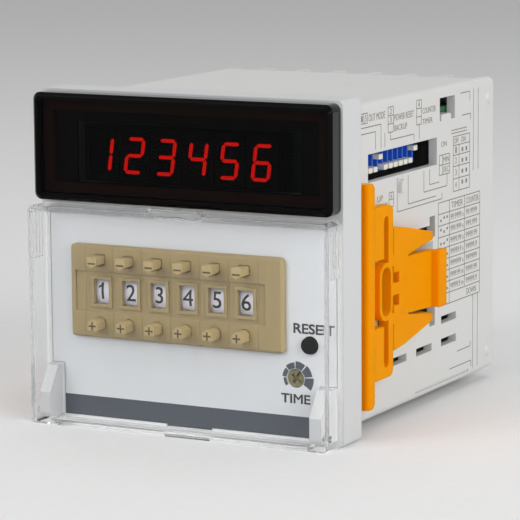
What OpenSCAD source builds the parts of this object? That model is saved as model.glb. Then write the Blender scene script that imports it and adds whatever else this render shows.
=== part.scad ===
// Panel counter, 72 mm square: six-digit display, push-wheel preset switch under a clear cover,
// hollow case with screw terminals at the rear, and two sliding brackets that clamp it in a panel.
// X runs to the right, Y to the rear and Z up. The origin is the centre of the bezel's back face.

/* [Bezel] */
// Width and height of the square bezel
bezel_w = 72; // [71:0.5:78]
// Depth of the bezel in front of the panel
bezel_t = 8.5; // [8.5:0.25:12]
// Corner radius of the bezel
bezel_r = 1.2; // [0.6:0.1:2.5]
// Thickness of the bezel's front wall
front_wall = 2.7; // [2.5:0.1:3]
// Thickness of the web behind the bezel's pocket
web_t = 2; // [1.6:0.1:2.2]
// Depth of the rebate that takes the case's front edge
rebate = 1; // [0.6:0.1:1.2]
// Wall left around the bezel's pocket
bezel_wall = 3; // [2.5:0.1:3.2]
// Length of the skirt that plugs into the case
skirt_l = 5; // [4:0.5:7]
// Wall of the skirt
skirt_t = 1.4; // [1:0.1:1.8]

/* [Case] */
// Step from the bezel's side in to the case's side
case_step_x = 2.7; // [2:0.1:3.2]
// Step from the bezel's top and bottom in to the case's
case_step_z = 2.15; // [1.5:0.05:2.65]
// Length of the case behind the panel
case_l = 75.5; // [74:0.5:90]
// Thickness of the case walls
wall = 2; // [1.8:0.1:2.2]
// Radius of the case's long edges
case_r = 1.5; // [0.8:0.1:2]
// Radius of the rear corners of the side walls
case_rear_r = 1.2; // [1:0.2:4]
// How far the top and bottom walls stop short of the rear
end_recess = 7; // [5.5:0.5:7.5]

/* [Setting window in the right wall] */
// Front edge of the window behind the panel
dip_window_y = 8.9; // [8.5:0.1:9.5]
// Length of the window
dip_window_l = 35.2; // [33:0.2:36]
// Height of the window
dip_window_h = 6; // [5.5:0.1:7]
// Drop from the case's top to the window's centre
dip_window_drop = 13.85; // [13.35:0.05:14.85]

/* [Latch notch in the right wall] */
// Front edge of the notch behind the panel
notch_y = 45.6; // [45:0.1:48]
// Length of the notch
notch_l = 8.2; // [7.5:0.1:9]
// Drop from the case's top to the notch's lower edge
notch_drop = 7.45; // [6.85:0.05:7.85]
// Height of the notch
notch_h = 5.1; // [4.5:0.1:5.2]
// Length of the rounded latch tongue in the notch
tongue_l = 5.4; // [4:0.1:6]
// Height of the latch tongue
tongue_h = 1.4; // [1.2:0.1:2]

/* [Louvres] */
// Length of a louvre slot
louvre_l = 8.2; // [6:0.1:10]
// Height of a louvre slot
louvre_h = 1.7; // [1.2:0.1:2.2]
// Spacing of the louvre slots along the case
louvre_pitch = 13.3; // [12:0.1:14]
// Front end of the first louvre slot
louvre_y = 20; // [18:0.5:22]
// Height of the lower row's centre above the case's underside
louvre_lift = 10.55; // [9.85:0.05:11.35]
// Rise from the lower row to the upper row
louvre_rise = 5.1; // [4:0.1:5.5]

/* [Display] */
// Step from the bezel's edge in to the tinted window
window_step = 0.5; // [0.5:0.1:2]
// Height of the tinted window
window_h = 23; // [21:0.5:25]
// How far the window stands in front of the bezel
window_t = 4.4; // [3.6:0.1:5]
// Wall of the window
window_wall = 1.4; // [1:0.1:1.8]
// Corner radius of the window
window_r = 1.6; // [0.8:0.1:2.5]
// Rounding of the window's front edge
window_edge = 0.7; // [0.3:0.1:1]
// Width of the frame inside the window
mask_w = 2.2; // [1.5:0.1:3]
// Thickness of the frame inside the window
mask_t = 2.2; // [1.5:0.1:2.6]
// Spacing of the digits
digit_pitch = 7.55; // [7.4:0.05:8]
// Height of a digit
digit_h = 7.8; // [6.5:0.1:9]
// Width of a digit
digit_w = 4.4; // [3.8:0.1:4.8]
// Width of a digit's segments
segment_w = 0.75; // [0.5:0.05:0.95]
// Lean of the digits in degrees
digit_lean = 8; // [0:1:12]
// Width of a digit block
digit_block_w = 7.3; // [6.8:0.1:7.3]
// Height of a digit block
digit_block_h = 11.4; // [10.5:0.1:12]

/* [Front panel] */
// Step from the bezel's side in to the front panel
panel_step = 2.2; // [1.8:0.1:2.7]
// Thickness of the front panel
panel_t = 1.2; // [1:0.1:1.3]
// Ledge that the panel lies on
panel_ledge = 1.2; // [1:0.1:1.5]
// Gap between the window and what lies below it
below_window = 1; // [0.6:0.1:1.5]

/* [Push-wheel switch] */
// Height of the switch's face
switch_h = 20.1; // [19.6:0.1:21]
// How far the switch's face stands in front of the panel
switch_t = 1.5; // [1.3:0.1:1.8]
// Depth of the switch behind the panel's face
switch_depth = 17.5; // [16.5:0.5:22]
// Height of the switch behind its face
switch_body_h = 17.6; // [17:0.1:18]
// Width of the left end plate
end_left_w = 3.75; // [3.2:0.05:4]
// Width of the right end plate
end_right_w = 5.75; // [4.5:0.05:6]
// Distance of the switch from the panel's left edge
switch_from_left = 5.6; // [5.2:0.1:6]
// Distance of the switch from the panel's right edge
switch_from_right = 10.8; // [10.6:0.1:11.4]
// Height of the switch's centre above the panel's foot
switch_up = 27.9; // [26.9:0.05:28.7]
// Height of the sunk band across the switch
band_h = 8.7; // [8.2:0.1:9]
// Depth of the sunk band
band_t = 0.4; // [0.2:0.05:0.5]
// Width of a number window
number_w = 3.7; // [3.4:0.1:3.9]
// Height of a number window
number_h = 5.4; // [4.6:0.1:5.6]
// Sideways shift of the number windows in their modules
number_shift = 0.45; // [0:0.05:0.6]
// Rim around a number window
number_rim = 0.7; // [0.4:0.05:0.8]
// Radius of a number wheel
wheel_r = 7.2; // [6.8:0.05:7.3]
// Width of a number wheel
wheel_w = 4.6; // [4.2:0.1:4.8]
// Radius of a number wheel's stub axles
axle_r = 1.2; // [0.9:0.05:1.5]
// Height of the step buttons' centres above and below the switch's centre
button_rise = 6.7; // [6.6:0.05:6.9]
// Width of a step button
button_w = 2.3; // [1.8:0.1:2.6]
// Height of a step button
button_h = 2.4; // [2:0.05:2.5]
// How far a step button stands in front of the switch's face
button_out = 3.5; // [3:0.1:4.2]
// Sideways shift of the step buttons in their modules
button_shift = 0.15; // [-0.5:0.05:0.5]
// Travel of a step button
button_travel = 1.5; // [1.2:0.1:1.5]

/* [Reset button and timer trimmer] */
// Distance of the reset button from the panel's right edge
reset_side = 5.3; // [4.8:0.1:5.8]
// Height of the reset button above the panel's foot
reset_up = 19.95; // [19.35:0.1:20.85]
// Radius of the reset button
reset_r = 1.75; // [1.5:0.05:2]
// How far the reset button stands in front of the panel
reset_out = 0.8; // [0.6:0.1:1]
// Travel of the reset button
reset_travel = 0.4; // [0.3:0.05:0.4]
// Distance of the trimmer from the panel's right edge
trimmer_side = 8.7; // [8.2:0.1:8.8]
// Height of the trimmer above the panel's foot
trimmer_up = 12.75; // [12.25:0.1:13.05]
// Radius of the trimmer's rotor
trimmer_r = 1.85; // [1.6:0.05:2.1]
// Depth of the trimmer's rotor behind the panel's face
trimmer_in = 0.3; // [0.1:0.05:0.5]

/* [Clear cover] */
// How far the cover stands in front of the bezel
cover_t = 7.3; // [7.1:0.1:8.5]
// Wall of the cover
cover_wall = 1.2; // [1:0.05:1.3]
// Rounding of the cover's upright front edges
cover_r = 1.2; // [0.6:0.1:2]
// Rounding of the cover's corners seen from the front
cover_corner = 1.4; // [0.6:0.1:1.6]
// Bevel along the cover's top front edge
cover_bevel = 0.9; // [0.4:0.1:1.5]
// Width of the finger tab on the cover
tab_w = 13.2; // [10:0.2:16]
// Height of the finger tab
tab_h = 0.9; // [0.6:0.05:1.1]
// Radius of the cover's hinge pins
hinge_pin_r = 0.7; // [0.5:0.05:0.8]
// Radius of the hinge posts around the pins
post_r = 1.2; // [1.1:0.05:1.3]
// Width of a hinge post
post_w = 2.7; // [2.4:0.1:3]
// Height of the posts' top above the bezel's bottom edge
post_h = 12.2; // [10:0.2:13]

/* [Brackets] */
// Height of the brackets' centre
bracket_z = -6.4; // [-7:0.1:-5.5]
// Height of the clamping bar
bar_h = 47.8; // [42:0.2:50]
// Depth of the clamping bar
bar_d = 3.3; // [2.6:0.1:3.8]
// Thickness of the clamping bar
bar_t = 2.6; // [2.2:0.1:3]
// Rounding of the bar's outer front edge
bar_r = 0.9; // [0.4:0.1:1.4]
// Gap between the bar and the bezel's back as shown
bar_gap = 2.8; // [2.6:0.1:3.4]
// Thickness of the spring loops and the body
bracket_t = 2.4; // [2:0.1:2.8]
// Height of the spring loops above the bracket's centre
loop_h = 18.4; // [16:0.2:20]
// Width of the slot in a spring loop
loop_gap = 2.3; // [1.8:0.1:2.5]
// How far a bracket slides back from the place shown
bracket_travel = 6; // [4:0.5:8]
// How far a bracket slides forward from the place shown
bracket_forward = 2; // [1:0.1:2.2]
// Height of a guide slot
slot_h = 2.75; // [2.5:0.05:3]
// Height of a slot's centre above and below the bracket's centre
slot_rise = 8.95; // [8.8:0.05:9.1]
// Length of the wider end of a guide slot, where the bracket is hooked in
slot_end_l = 2.9; // [2.7:0.1:3.4]
// How far the wider end opens outwards
slot_end_h = 1.9; // [1.4:0.1:2.4]
// Spacing of the ratchet teeth
tooth_pitch = 1.2; // [1:0.05:1.6]
// Height of the ratchet teeth
tooth_h = 0.5; // [0.3:0.05:0.6]

/* [Terminals] */
// Thickness of the barriers between the terminals
barrier_t = 1.4; // [1:0.1:1.8]
// Depth of a terminal bay
bay_d = 8.5; // [8:0.1:10]
// Height of the ridge between the two rows
ridge_h = 26; // [22:0.5:28]
// Depth of the block behind the bays
block_d = 4.5; // [4:0.1:6]
// Radius of a terminal screw's head
screw_head_r = 3.2; // [2.8:0.1:3.4]
// Height of a terminal screw's head
screw_head_h = 2.2; // [1.8:0.1:2.6]
// Radius of a terminal screw's shank
screw_r = 1.5; // [1.2:0.05:1.75]
// Thickness of the terminal plates
plate_t = 0.8; // [0.6:0.1:1]

/* [Boards] */
// Thickness of the circuit boards
board_t = 1.6; // [1.4:0.1:1.6]
// Drop from the case's ceiling to the upper board's top
upper_drop = 2.85; // [2.6:0.05:3.4]
// Lift of the lower board's underside above the case's floor
lower_lift = 3.45; // [2.85:0.05:3.85]
// Spacing of the setting switches
lever_pitch = 2.54; // [2.4:0.02:2.6]
// Travel of a setting switch
lever_travel = 2.5; // [2:0.05:2.6]
// Height of a setting switch's lever
lever_h = 1.1; // [0.9:0.05:1.3]
// Width of a setting switch's lever
lever_w = 1.8; // [1.4:0.05:1.85]
// How far a lever stands out of the setting switch
lever_out = 1.5; // [1.2:0.1:2]

/* [Hidden] */
$fn = 48;

// Fits and clearances
fit = 0.15;
slide_fit = 0.15;
pin_fit = 0.05;
clear = 0.3;
over = 0.5;

// Front plane of the bezel, and the window and cover in front of it
front_y = -bezel_t;
bezel_half = bezel_w / 2;
window_x = bezel_half - window_step;
window_top = window_x;
window_bottom = window_top - window_h;
window_mid = (window_top + window_bottom) / 2;
cover_top = window_bottom - below_window;
cover_step = 0.2;
cover_bottom = -bezel_half + cover_step;
cover_half = bezel_half - cover_step;
cover_y = front_y - cover_t;

// Inner sizes of the case and the bezel
case_x = bezel_half - case_step_x;
case_z = bezel_half - case_step_z;
case_in_x = case_x - wall;
case_in_z = case_z - wall;
skirt_x = case_in_x - fit;
skirt_z = case_in_z - fit;
pocket = bezel_half - bezel_wall;
web_y = -rebate - web_t;
control_y = web_y - board_t;

// Openings in the case walls
dip_window_z = case_z - dip_window_drop;
notch_z = case_z - notch_drop;
louvre_z = -case_z + louvre_lift;

// Small forms on the case walls: grooves, an arched rib below the setting window, bumps at the rear
groove_w = 0.5;
groove_d = 0.35;
groove_y = 32.7;
groove_back = 61.8;
groove_z = -case_z + 1.45;
end_groove_1 = 11.5;
end_groove_2 = 8.8;
end_groove_in = 1.85;
end_groove_upper = 18.5;
end_groove_lower = 17;
end_groove_y = [case_l - end_groove_1, case_l - end_groove_2];
end_groove_top = case_z - end_groove_in;
end_groove_z = [[end_groove_top - end_groove_upper, end_groove_top],
    [-end_groove_top, -end_groove_top + end_groove_lower]];
arch_back = 16.1;
arch_drop = 5.25;
arch_y = dip_window_y + arch_back;
arch_z = dip_window_z - arch_drop;
arch_r = 1.35;
arch_t = 1;
bump_r = 1.5;
bump_t = 0.5;
bump_y = case_l - 2.9;
bump_z = [case_z - 4.7, -case_z + 4.45];

// Hinge of the cover: posts on the bezel, pins on the cover
hinge_y = cover_y + cover_wall + clear + post_r;
hinge_z = cover_bottom + cover_wall + clear / 2 + post_r;
post_out_x = cover_half - cover_wall - 0.8;
post_in_x = post_out_x - post_w;
post_top = cover_bottom + post_h;
post_shoulder = 2.4;
post_knee = 0.45;

// Front panel: notched at the lower corners for the posts
panel_x = bezel_half - panel_step;
panel_top = window_bottom - below_window - fit;
panel_foot = 1.15;
sill_top = 1.5;
sill_foot = 0.3;
sill_t = 0.5;
sill_gap = 5.5;
panel_bottom = -bezel_half + panel_foot;
panel_notch_x = post_in_x - clear;
panel_notch_z = post_top + clear;

// Push-wheel switch
modules = 6;
switch_z = panel_bottom + switch_up;
switch_w = 2 * panel_x - switch_from_left - switch_from_right;
switch_left = -panel_x + switch_from_left;
module_w = (switch_w - end_left_w - end_right_w) / modules;
switch_face = front_y - switch_t;
switch_back = front_y + switch_depth;
switch_bevel = 0.55;
band_left = 1.85;
band_right = 1.65;
cutout_lip = 0.8;
module_gap = 0.02;
face_wall = 1.2;
wheel_y = switch_face + band_t + face_wall - 0.3 + wheel_r;
cavity_r = wheel_r + clear;
cavity_w = wheel_w + 0.5;
shoulder_t = 0.7;
shoulder_x = button_w / 2 + 0.4;
shoulder_z = button_h / 2 + 0.25;
button_front = switch_face - button_out;
detents = 10;

// Controls on the panel
reset_x = panel_x - reset_side;
reset_z = panel_bottom + reset_up;
trimmer_x = panel_x - trimmer_side;
trimmer_z = panel_bottom + trimmer_up;
control_side = 1.2;
control_below = 8;
control_above = 6;
flange_t = 0.5;
flange_r = reset_r + 0.65;
tact_h = 1.3;
boss_r = 1.1;
bosses = [[trimmer_x - 0.7, reset_z + 2.9], [reset_x - 0.6, trimmer_z - 5.8]];

// Boards, setting switch and the parts on the lower board
upper_z = case_in_z - upper_drop;
lower_z = -case_in_z + lower_lift;
board_x = case_in_x - 0.25;
board_front = skirt_l + 2;
block_front = case_l - bay_d - block_d;
board_back = block_front - 2.5;
ledge_w = 1.3;
ledge_t = 1.2;
levers = 10;
levers_up = [3, 10];
lever_face = case_in_x - 0.45;
dip_face = lever_face - lever_out;
dip_mid = dip_window_y + dip_window_l / 2 + 0.4;
dip_l = levers * lever_pitch + 1;
dip_d = 7;
dip_rim = 0.25;
dip_low = dip_window_z - (lever_travel + lever_h) / 2 - slide_fit - dip_rim;
lever_sink = 0.8;
transformer_x = -0.42 * board_x;
transformer_w = 28;
transformer_d = 12;
transformer_h = 24;
coil_w = 18;
coil_l = 22;
coil_h = 16;
coil_r = 2;
relay_x = 0.48 * board_x;
relay_w = 15.4;
relay_l = 19;
relay_h = 15.5;
relay_cut = 0.5;
parts_back = 6;
parts_y = (board_front + board_back) / 2 + parts_back;

// Terminals: seven bays in each of two rows
bays = 7;
bay_pitch = (2 * case_x - wall) / bays;
bay_floor = case_l - bay_d;
block_x = case_in_x - fit;
block_z = case_in_z - fit;
ridge_back = case_l - 1.5;
screw_z = (ridge_h / 2 + case_z) / 2 - 1.2;
plate_w = bay_pitch - barrier_t - 0.8;
plate_h = 9;

// Brackets: places along Y, and heights above the bracket's own centre
bracket_x = case_x + clear;
channel_x = case_x + tooth_h + clear;
bar_back = bar_gap + bar_d;
loop_front = 0.5;
loop_y = bar_back + loop_front;
loop_leg = 4.5;
loop_rim = 2.2;
loop_r = 1.7;
loop_edge = 0.6;
loop_slot = loop_y + loop_leg;
loop_end = loop_slot + loop_gap + loop_rim;
loop_foot = 7.2;
loop_join = 5;
loop_link = 2.4;
body_front = 0.4;
body_l = 7.1;
body_y = loop_end + body_front;
body_end = body_y + body_l;
body_top = 13.2;
body_cut = 0.5;
dent_z = 1.3;
dent_h = 2.3;
dent_y = 2.7;
prong_l = 12.9;
prong_end = body_end + prong_l;
prong_half = 0.85;
prong_gap = 0.2;
prong_bend_y = 3.1;
prong_bend_z = 0.7;
tab_l = 13.6;
tab_foot_l = 4.3;
tab_end = body_end + tab_l;
tab_knee = tab_end - tab_foot_l;
tab_root = 1;
tab_under = 2.4;
tab_edge = 0.3;
pawl_y = 5.6;
pawl_l = 2.8;
pawl_tip = 0.4;
pawl_in = 2;
tab_half = 6.2;
tab_slope = 1.3;
tab_rise = 3;
tab_t = 1.4;
ring_back = 2.5;
ring_rim = 1;
ring_y = loop_y + ring_back;
ring_half = 6.2;
ring_r = 3;
ring_web_t = 0.9;
key_back = 5.1;
key_y = body_y + key_back;
key_short = 1.1;
hook_l = 2.5;
hook_h = 1;
hook_t = 0.8;
slot_front = key_y - bracket_forward - clear;
slot_spare = 1.2;
slot_back = prong_end + bracket_travel + slot_spare;
rack_gap = 1;
rack_front = body_end + rack_gap;
rack_half = 6.8;
rack_teeth = floor((slot_back - rack_front) / tooth_pitch);

// Outline helpers
function arc(x, z, r, from, to, steps = 6) =
    [for (i = [0:steps]) let (a = from + (to - from) * i / steps) [x + r * cos(a), z + r * sin(a)]];

function round_rect(x0, z0, x1, z1, r) = concat(
    arc(x1 - r, z1 - r, r, 0, 90), arc(x0 + r, z1 - r, r, 90, 180),
    arc(x0 + r, z0 + r, r, 180, 270), arc(x1 - r, z0 + r, r, 270, 360));

module box(x0, x1, y0, y1, z0, z1) {
    translate([x0, y0, z0]) cube([x1 - x0, y1 - y0, z1 - z0]);
}

// Extrudes an outline drawn in X and Z along Y
module along_y(y0, y1) {
    translate([0, y1, 0]) rotate([90, 0, 0]) linear_extrude(y1 - y0) children();
}

// Extrudes an outline drawn in Y and Z along X
module along_x(x0, x1) {
    translate([x0, 0, 0]) rotate([90, 0, 90]) linear_extrude(x1 - x0) children();
}

// Extrudes an outline drawn in X and Y along Z
module along_z(z0, z1) {
    translate([0, 0, z0]) linear_extrude(z1 - z0) children();
}

module rod_y(x, z, r, y0, y1) {
    translate([x, y1, z]) rotate([90, 0, 0]) cylinder(r = r, h = y1 - y0);
}

module rod_x(y, z, r, x0, x1) {
    translate([x0, y, z]) rotate([0, 90, 0]) cylinder(r = r, h = x1 - x0);
}

module both_sides() {
    children();
    mirror([1, 0, 0]) children();
}

module top_and_bottom() {
    children();
    mirror([0, 0, 1]) children();
}

// Case: a hollow shell, open at the front and at the rear
module case_shell() {
    difference() {
        along_y(-rebate, case_l) polygon(round_rect(-case_x, -case_z, case_x, case_z, case_r));
        along_y(-rebate - over, case_l + over)
            polygon(round_rect(-case_in_x, -case_in_z, case_in_x, case_in_z, case_r / 3));
        top_and_bottom() {
            box(-case_in_x, case_in_x, case_l - end_recess, case_l + over, case_in_z - over, case_z + over);
            along_x(-case_x - over, case_x + over)
                polygon(concat([[case_l + over, case_z + over]],
                    arc(case_l - case_rear_r, case_z - case_rear_r, case_rear_r, 90, 0)));
        }
    }
}

// Ratchet teeth: steep in front, sloping to the rear
module rack() {
    teeth = [for (i = [0:rack_teeth - 1], p = [[0, 0], [tooth_h, 0]])
        [case_x + p[0], rack_front + i * tooth_pitch]];
    rack_back = rack_front + rack_teeth * tooth_pitch;
    along_z(bracket_z - rack_half, bracket_z + rack_half)
        polygon(concat([[case_x - over, rack_front]], teeth,
            [[case_x, rack_back], [case_x - over, rack_back]]));
}

module guide_slots() {
    inner = slot_rise - slot_h / 2;
    outer = slot_rise + slot_h / 2;
    translate([0, 0, bracket_z]) top_and_bottom() {
        box(case_in_x - over, case_x + over, slot_front, slot_back, inner, outer);
        box(case_in_x - over, case_x + over, slot_back - slot_end_l, slot_back, inner, outer + slot_end_h);
    }
}

module louvre(row, place) {
    y = louvre_y + place * louvre_pitch;
    z = louvre_z + row * louvre_rise;
    box(case_in_x - over, case_x + over, y, y + louvre_l, z - louvre_h / 2, z + louvre_h / 2);
}

module end_grooves() {
    for (y = end_groove_y, z = end_groove_z)
        box(case_x - groove_d, case_x + over, y, y + groove_w, z[0], z[1]);
}

module case() {
    color("gainsboro") difference() {
        union() {
            case_shell();
            both_sides() {
                rack();
                for (z = [upper_z - board_t, lower_z])
                    box(case_in_x - ledge_w, case_in_x + over, board_front, board_back, z - ledge_t, z);
            }
            both_sides() for (z = bump_z) translate([case_x, bump_y, z]) rotate([0, 90, 0])
                cylinder(r1 = bump_r, r2 = bump_r - bump_t, h = bump_t);
            along_x(case_x - over, case_x + arch_t)
                polygon(concat([[arch_y - arch_r, arch_z - arch_r], [arch_y + arch_r, arch_z - arch_r]],
                    arc(arch_y, arch_z, arch_r, 0, 180)));
        }
        box(case_in_x - over, case_x + over, dip_window_y, dip_window_y + dip_window_l,
            dip_window_z - dip_window_h / 2, dip_window_z + dip_window_h / 2);
        difference() {
            box(case_in_x - over, case_x + over, notch_y, notch_y + notch_l, notch_z, notch_z + notch_h);
            along_x(case_in_x - 2 * over, case_x + 2 * over)
                polygon(round_rect(notch_y + 0.8, notch_z - over, notch_y + 0.8 + tongue_l,
                    notch_z + tongue_h, tongue_h / 2));
        }
        both_sides() {
            guide_slots();
            for (place = [0:2]) louvre(0, place);
            louvre(1, 2);
            end_grooves();
            box(case_x - groove_d, case_x + over, groove_y, groove_back, groove_z, groove_z + groove_w);
        }
    }
}

// Bezel: square front frame with a skirt for the case, hinge posts and a sill
module hinge_post() {
    knee_z = hinge_z + (post_top - hinge_z) * post_knee;
    along_x(post_in_x, post_out_x)
        polygon(concat(
            [[front_y + over, post_top], [front_y - post_shoulder, post_top], [hinge_y - post_r, knee_z]],
            arc(hinge_y, hinge_z, post_r, 180, 270),
            [[front_y + over, hinge_z - post_r]]));
}

function panel_outline(grow) = [
    [-panel_x - grow, panel_top + grow], [-panel_x - grow, panel_notch_z - grow],
    [-panel_notch_x - grow, panel_notch_z - grow], [-panel_notch_x - grow, panel_bottom - grow],
    [panel_notch_x + grow, panel_bottom - grow], [panel_notch_x + grow, panel_notch_z - grow],
    [panel_x + grow, panel_notch_z - grow], [panel_x + grow, panel_top + grow]];

module front_bezel() {
    color("lightgray") difference() {
        union() {
            difference() {
                along_y(front_y, 0)
                    polygon(round_rect(-bezel_half, -bezel_half, bezel_half, bezel_half, bezel_r));
                along_y(-rebate, over)
                    polygon(round_rect(-case_x - fit, -case_z - fit, case_x + fit, case_z + fit, case_r));
            }
            along_y(web_y, skirt_l) polygon(round_rect(-skirt_x, -skirt_z, skirt_x, skirt_z, case_r / 3));
            both_sides() {
                hinge_post();
                box(sill_gap, post_in_x, front_y - sill_t, front_y,
                    -bezel_half + sill_foot, -bezel_half + sill_top);
            }
        }
        box(-pocket, pocket, front_y + front_wall, web_y, -pocket, pocket);
        box(-skirt_x + skirt_t, skirt_x - skirt_t, web_y - over, skirt_l + over,
            -skirt_z + skirt_t, skirt_z - skirt_t);
        box(-display_open_x, display_open_x, front_y - over, front_y + front_wall + over,
            display_z - display_open_z, display_z + display_open_z);
        along_y(front_y - 0.05, front_y + panel_t) polygon(panel_outline(fit));
        along_y(front_y, front_y + front_wall + over) polygon(panel_outline(-panel_ledge));
        both_sides() rod_x(hinge_y, hinge_z, hinge_pin_r + pin_fit, post_out_x - 1.6, post_out_x + over);
    }
}

// Display: tinted window, frame, board, digit blocks and lit segments
digits = 6;
display_open_x = digits * digit_pitch / 2 + 4;
display_open_z = digit_block_h / 2 + 0.8;
display_board_x = skirt_x - skirt_t + 2;
display_z = window_mid - 1.2;
segment_t = 0.15;
segment_y = front_y - window_t + window_wall + clear;

module display_window() {
    color([0.1, 0.06, 0.06, 0.6]) difference() {
        hull() {
            along_y(front_y - window_t + window_edge, front_y)
                polygon(round_rect(-window_x, window_bottom, window_x, window_top, window_r));
            along_y(front_y - window_t, front_y - window_t + window_edge)
                polygon(round_rect(-window_x + window_edge, window_bottom + window_edge,
                    window_x - window_edge, window_top - window_edge, window_r - window_edge / 2));
        }
        box(-window_x + window_wall, window_x - window_wall, front_y - window_t + window_wall, front_y + over,
            window_bottom + window_wall, window_top - window_wall);
    }
}

// Frame behind the window: a thin plate with an opening for the digits and a raised border
module display_mask() {
    x = window_x - window_wall - fit;
    z = window_h / 2 - window_wall - fit;
    plate = 0.5;
    color("#2a1c18") difference() {
        box(-x, x, front_y - mask_t, front_y, window_mid - z, window_mid + z);
        box(-x + mask_w, x - mask_w, front_y - mask_t - over, front_y - plate,
            window_mid - z + mask_w, window_mid + z - mask_w);
        box(-display_open_x, display_open_x, front_y - plate - over, front_y + over,
            display_z - display_open_z, display_z + display_open_z);
    }
}

module display_board() {
    color("darkgreen") box(-display_board_x, display_board_x, control_y, control_y + board_t,
        display_z - display_open_z - 1.5, display_z + display_open_z + 1.5);
}

function digit_x(i) = (i - (digits - 1) / 2) * digit_pitch;

module digit_blocks() {
    color("#181414") for (i = [0:digits - 1])
        box(digit_x(i) - digit_block_w / 2, digit_x(i) + digit_block_w / 2, segment_y, control_y,
            display_z - digit_block_h / 2, display_z + digit_block_h / 2);
}

// A segment is a strip with pointed ends, as long as its place allows
module segment(length) {
    a = length / 2;
    b = segment_w / 2;
    polygon([[-a, 0], [-a + b, b], [a - b, b], [a, 0], [a - b, -b], [-a + b, -b]]);
}

// Segments a to g of one digit, in the digit's own upright frame
module digit_segment(name) {
    across = digit_w - segment_w * 1.25;
    high = (digit_h - segment_w) / 2 - 0.25;
    x = (digit_w - segment_w) / 2;
    z = (digit_h - segment_w) / 2;
    if (name == "a") translate([0, z]) segment(across);
    if (name == "b") translate([x, z / 2]) rotate(90) segment(high);
    if (name == "c") translate([x, -z / 2]) rotate(90) segment(high);
    if (name == "d") translate([0, -z]) segment(across);
    if (name == "e") translate([-x, -z / 2]) rotate(90) segment(high);
    if (name == "f") translate([-x, z / 2]) rotate(90) segment(high);
    if (name == "g") segment(across);
}

// What each digit shows
LIT = ["bc", "abged", "abgcd", "fgbc", "afgcd", "afgedc"];

module lit_segments() {
    lean = [[1, tan(digit_lean), 0, 0], [0, 1, 0, 0], [0, 0, 1, 0], [0, 0, 0, 1]];
    color("red") for (i = [0:digits - 1], name = LIT[i])
        translate([digit_x(i), 0, display_z])
            along_y(segment_y - segment_t, segment_y) multmatrix(lean) digit_segment(name);
}

// Front panel with its cut-outs and two bosses for the control board
module front_panel() {
    color("#c9cbcd") difference() {
        union() {
            along_y(front_y, front_y + panel_t) polygon(panel_outline(0));
            for (b = bosses) rod_y(b[0], b[1], boss_r, front_y + panel_t - over, control_y);
        }
        box(switch_left + cutout_lip - fit, switch_left + switch_w - cutout_lip + fit,
            front_y - over, front_y + panel_t + over,
            switch_z - switch_body_h / 2 - fit, switch_z + switch_body_h / 2 + fit);
        rod_y(reset_x, reset_z, reset_r + slide_fit, front_y - over, front_y + panel_t + over);
        rod_y(trimmer_x, trimmer_z, trimmer_r + slide_fit, front_y - over, front_y + panel_t + over);
    }
}

// Clear cover: a shallow box, open at the back, on two hinge pins
module cover_profile() {
    swing_r = front_y - hinge_y - clear;
    drop = hinge_z - cover_bottom;
    polygon(concat(
        [[front_y - clear, cover_top], [cover_y + cover_bevel, cover_top], [cover_y, cover_top - cover_bevel],
         [cover_y, cover_bottom + 0.5], [cover_y + 0.5, cover_bottom]],
        arc(hinge_y, hinge_z, swing_r, -asin(drop / swing_r), 0),
        [[front_y - clear, hinge_z]]));
}

module cover_plan() {
    polygon(concat(
        [[cover_half, front_y]], [[-cover_half, front_y]],
        arc(-cover_half + cover_r, cover_y + cover_r, cover_r, 180, 270),
        arc(cover_half - cover_r, cover_y + cover_r, cover_r, 270, 360)));
}

module front_cover() {
    inside = cover_half - cover_wall;
    floor_half = post_in_x - clear;
    rib_h = 10;
    color([0.9, 0.95, 1, 0.35]) {
        difference() {
            intersection() {
                along_x(-cover_half, cover_half) cover_profile();
                along_z(cover_bottom - over, cover_top + over) cover_plan();
                along_y(cover_y - over, front_y)
                    polygon(round_rect(-cover_half, cover_bottom, cover_half, cover_top, cover_corner));
            }
            box(-inside, inside, cover_y + cover_wall, front_y + over,
                cover_bottom - over, cover_top - cover_wall);
            both_sides() for (i = [0:3])
                box(cover_half - 0.25, cover_half + over, cover_y + 1.8 + i * 1.25, cover_y + 2.4 + i * 1.25,
                    cover_top - 1.6 - rib_h, cover_top - 1.6);
        }
        box(-floor_half, floor_half, cover_y + cover_wall - over, front_y - 2.2, cover_bottom,
            cover_bottom + cover_wall);
        along_y(cover_y + 0.4, front_y - window_t - clear)
            polygon([[-tab_w / 2, cover_top - over], [tab_w / 2, cover_top - over], [tab_w / 2, cover_top],
                [tab_w / 2 - tab_h, cover_top + tab_h], [-tab_w / 2 + tab_h, cover_top + tab_h],
                [-tab_w / 2, cover_top]]);
        both_sides() rod_x(hinge_y, hinge_z, hinge_pin_r, post_out_x - 1.4, inside + cover_wall / 2);
    }
}

// Push-wheel switch: six modules between two end plates
module switch_section() {
    half = switch_h / 2;
    body = switch_body_h / 2;
    translate([0, switch_z])
        polygon([[switch_face, -half + switch_bevel], [switch_face, half - switch_bevel],
            [switch_face + switch_bevel, half], [front_y, half], [front_y, body], [switch_back, body],
            [switch_back, -body], [front_y, -body], [front_y, -half], [switch_face + switch_bevel, -half]]);
}

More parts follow.
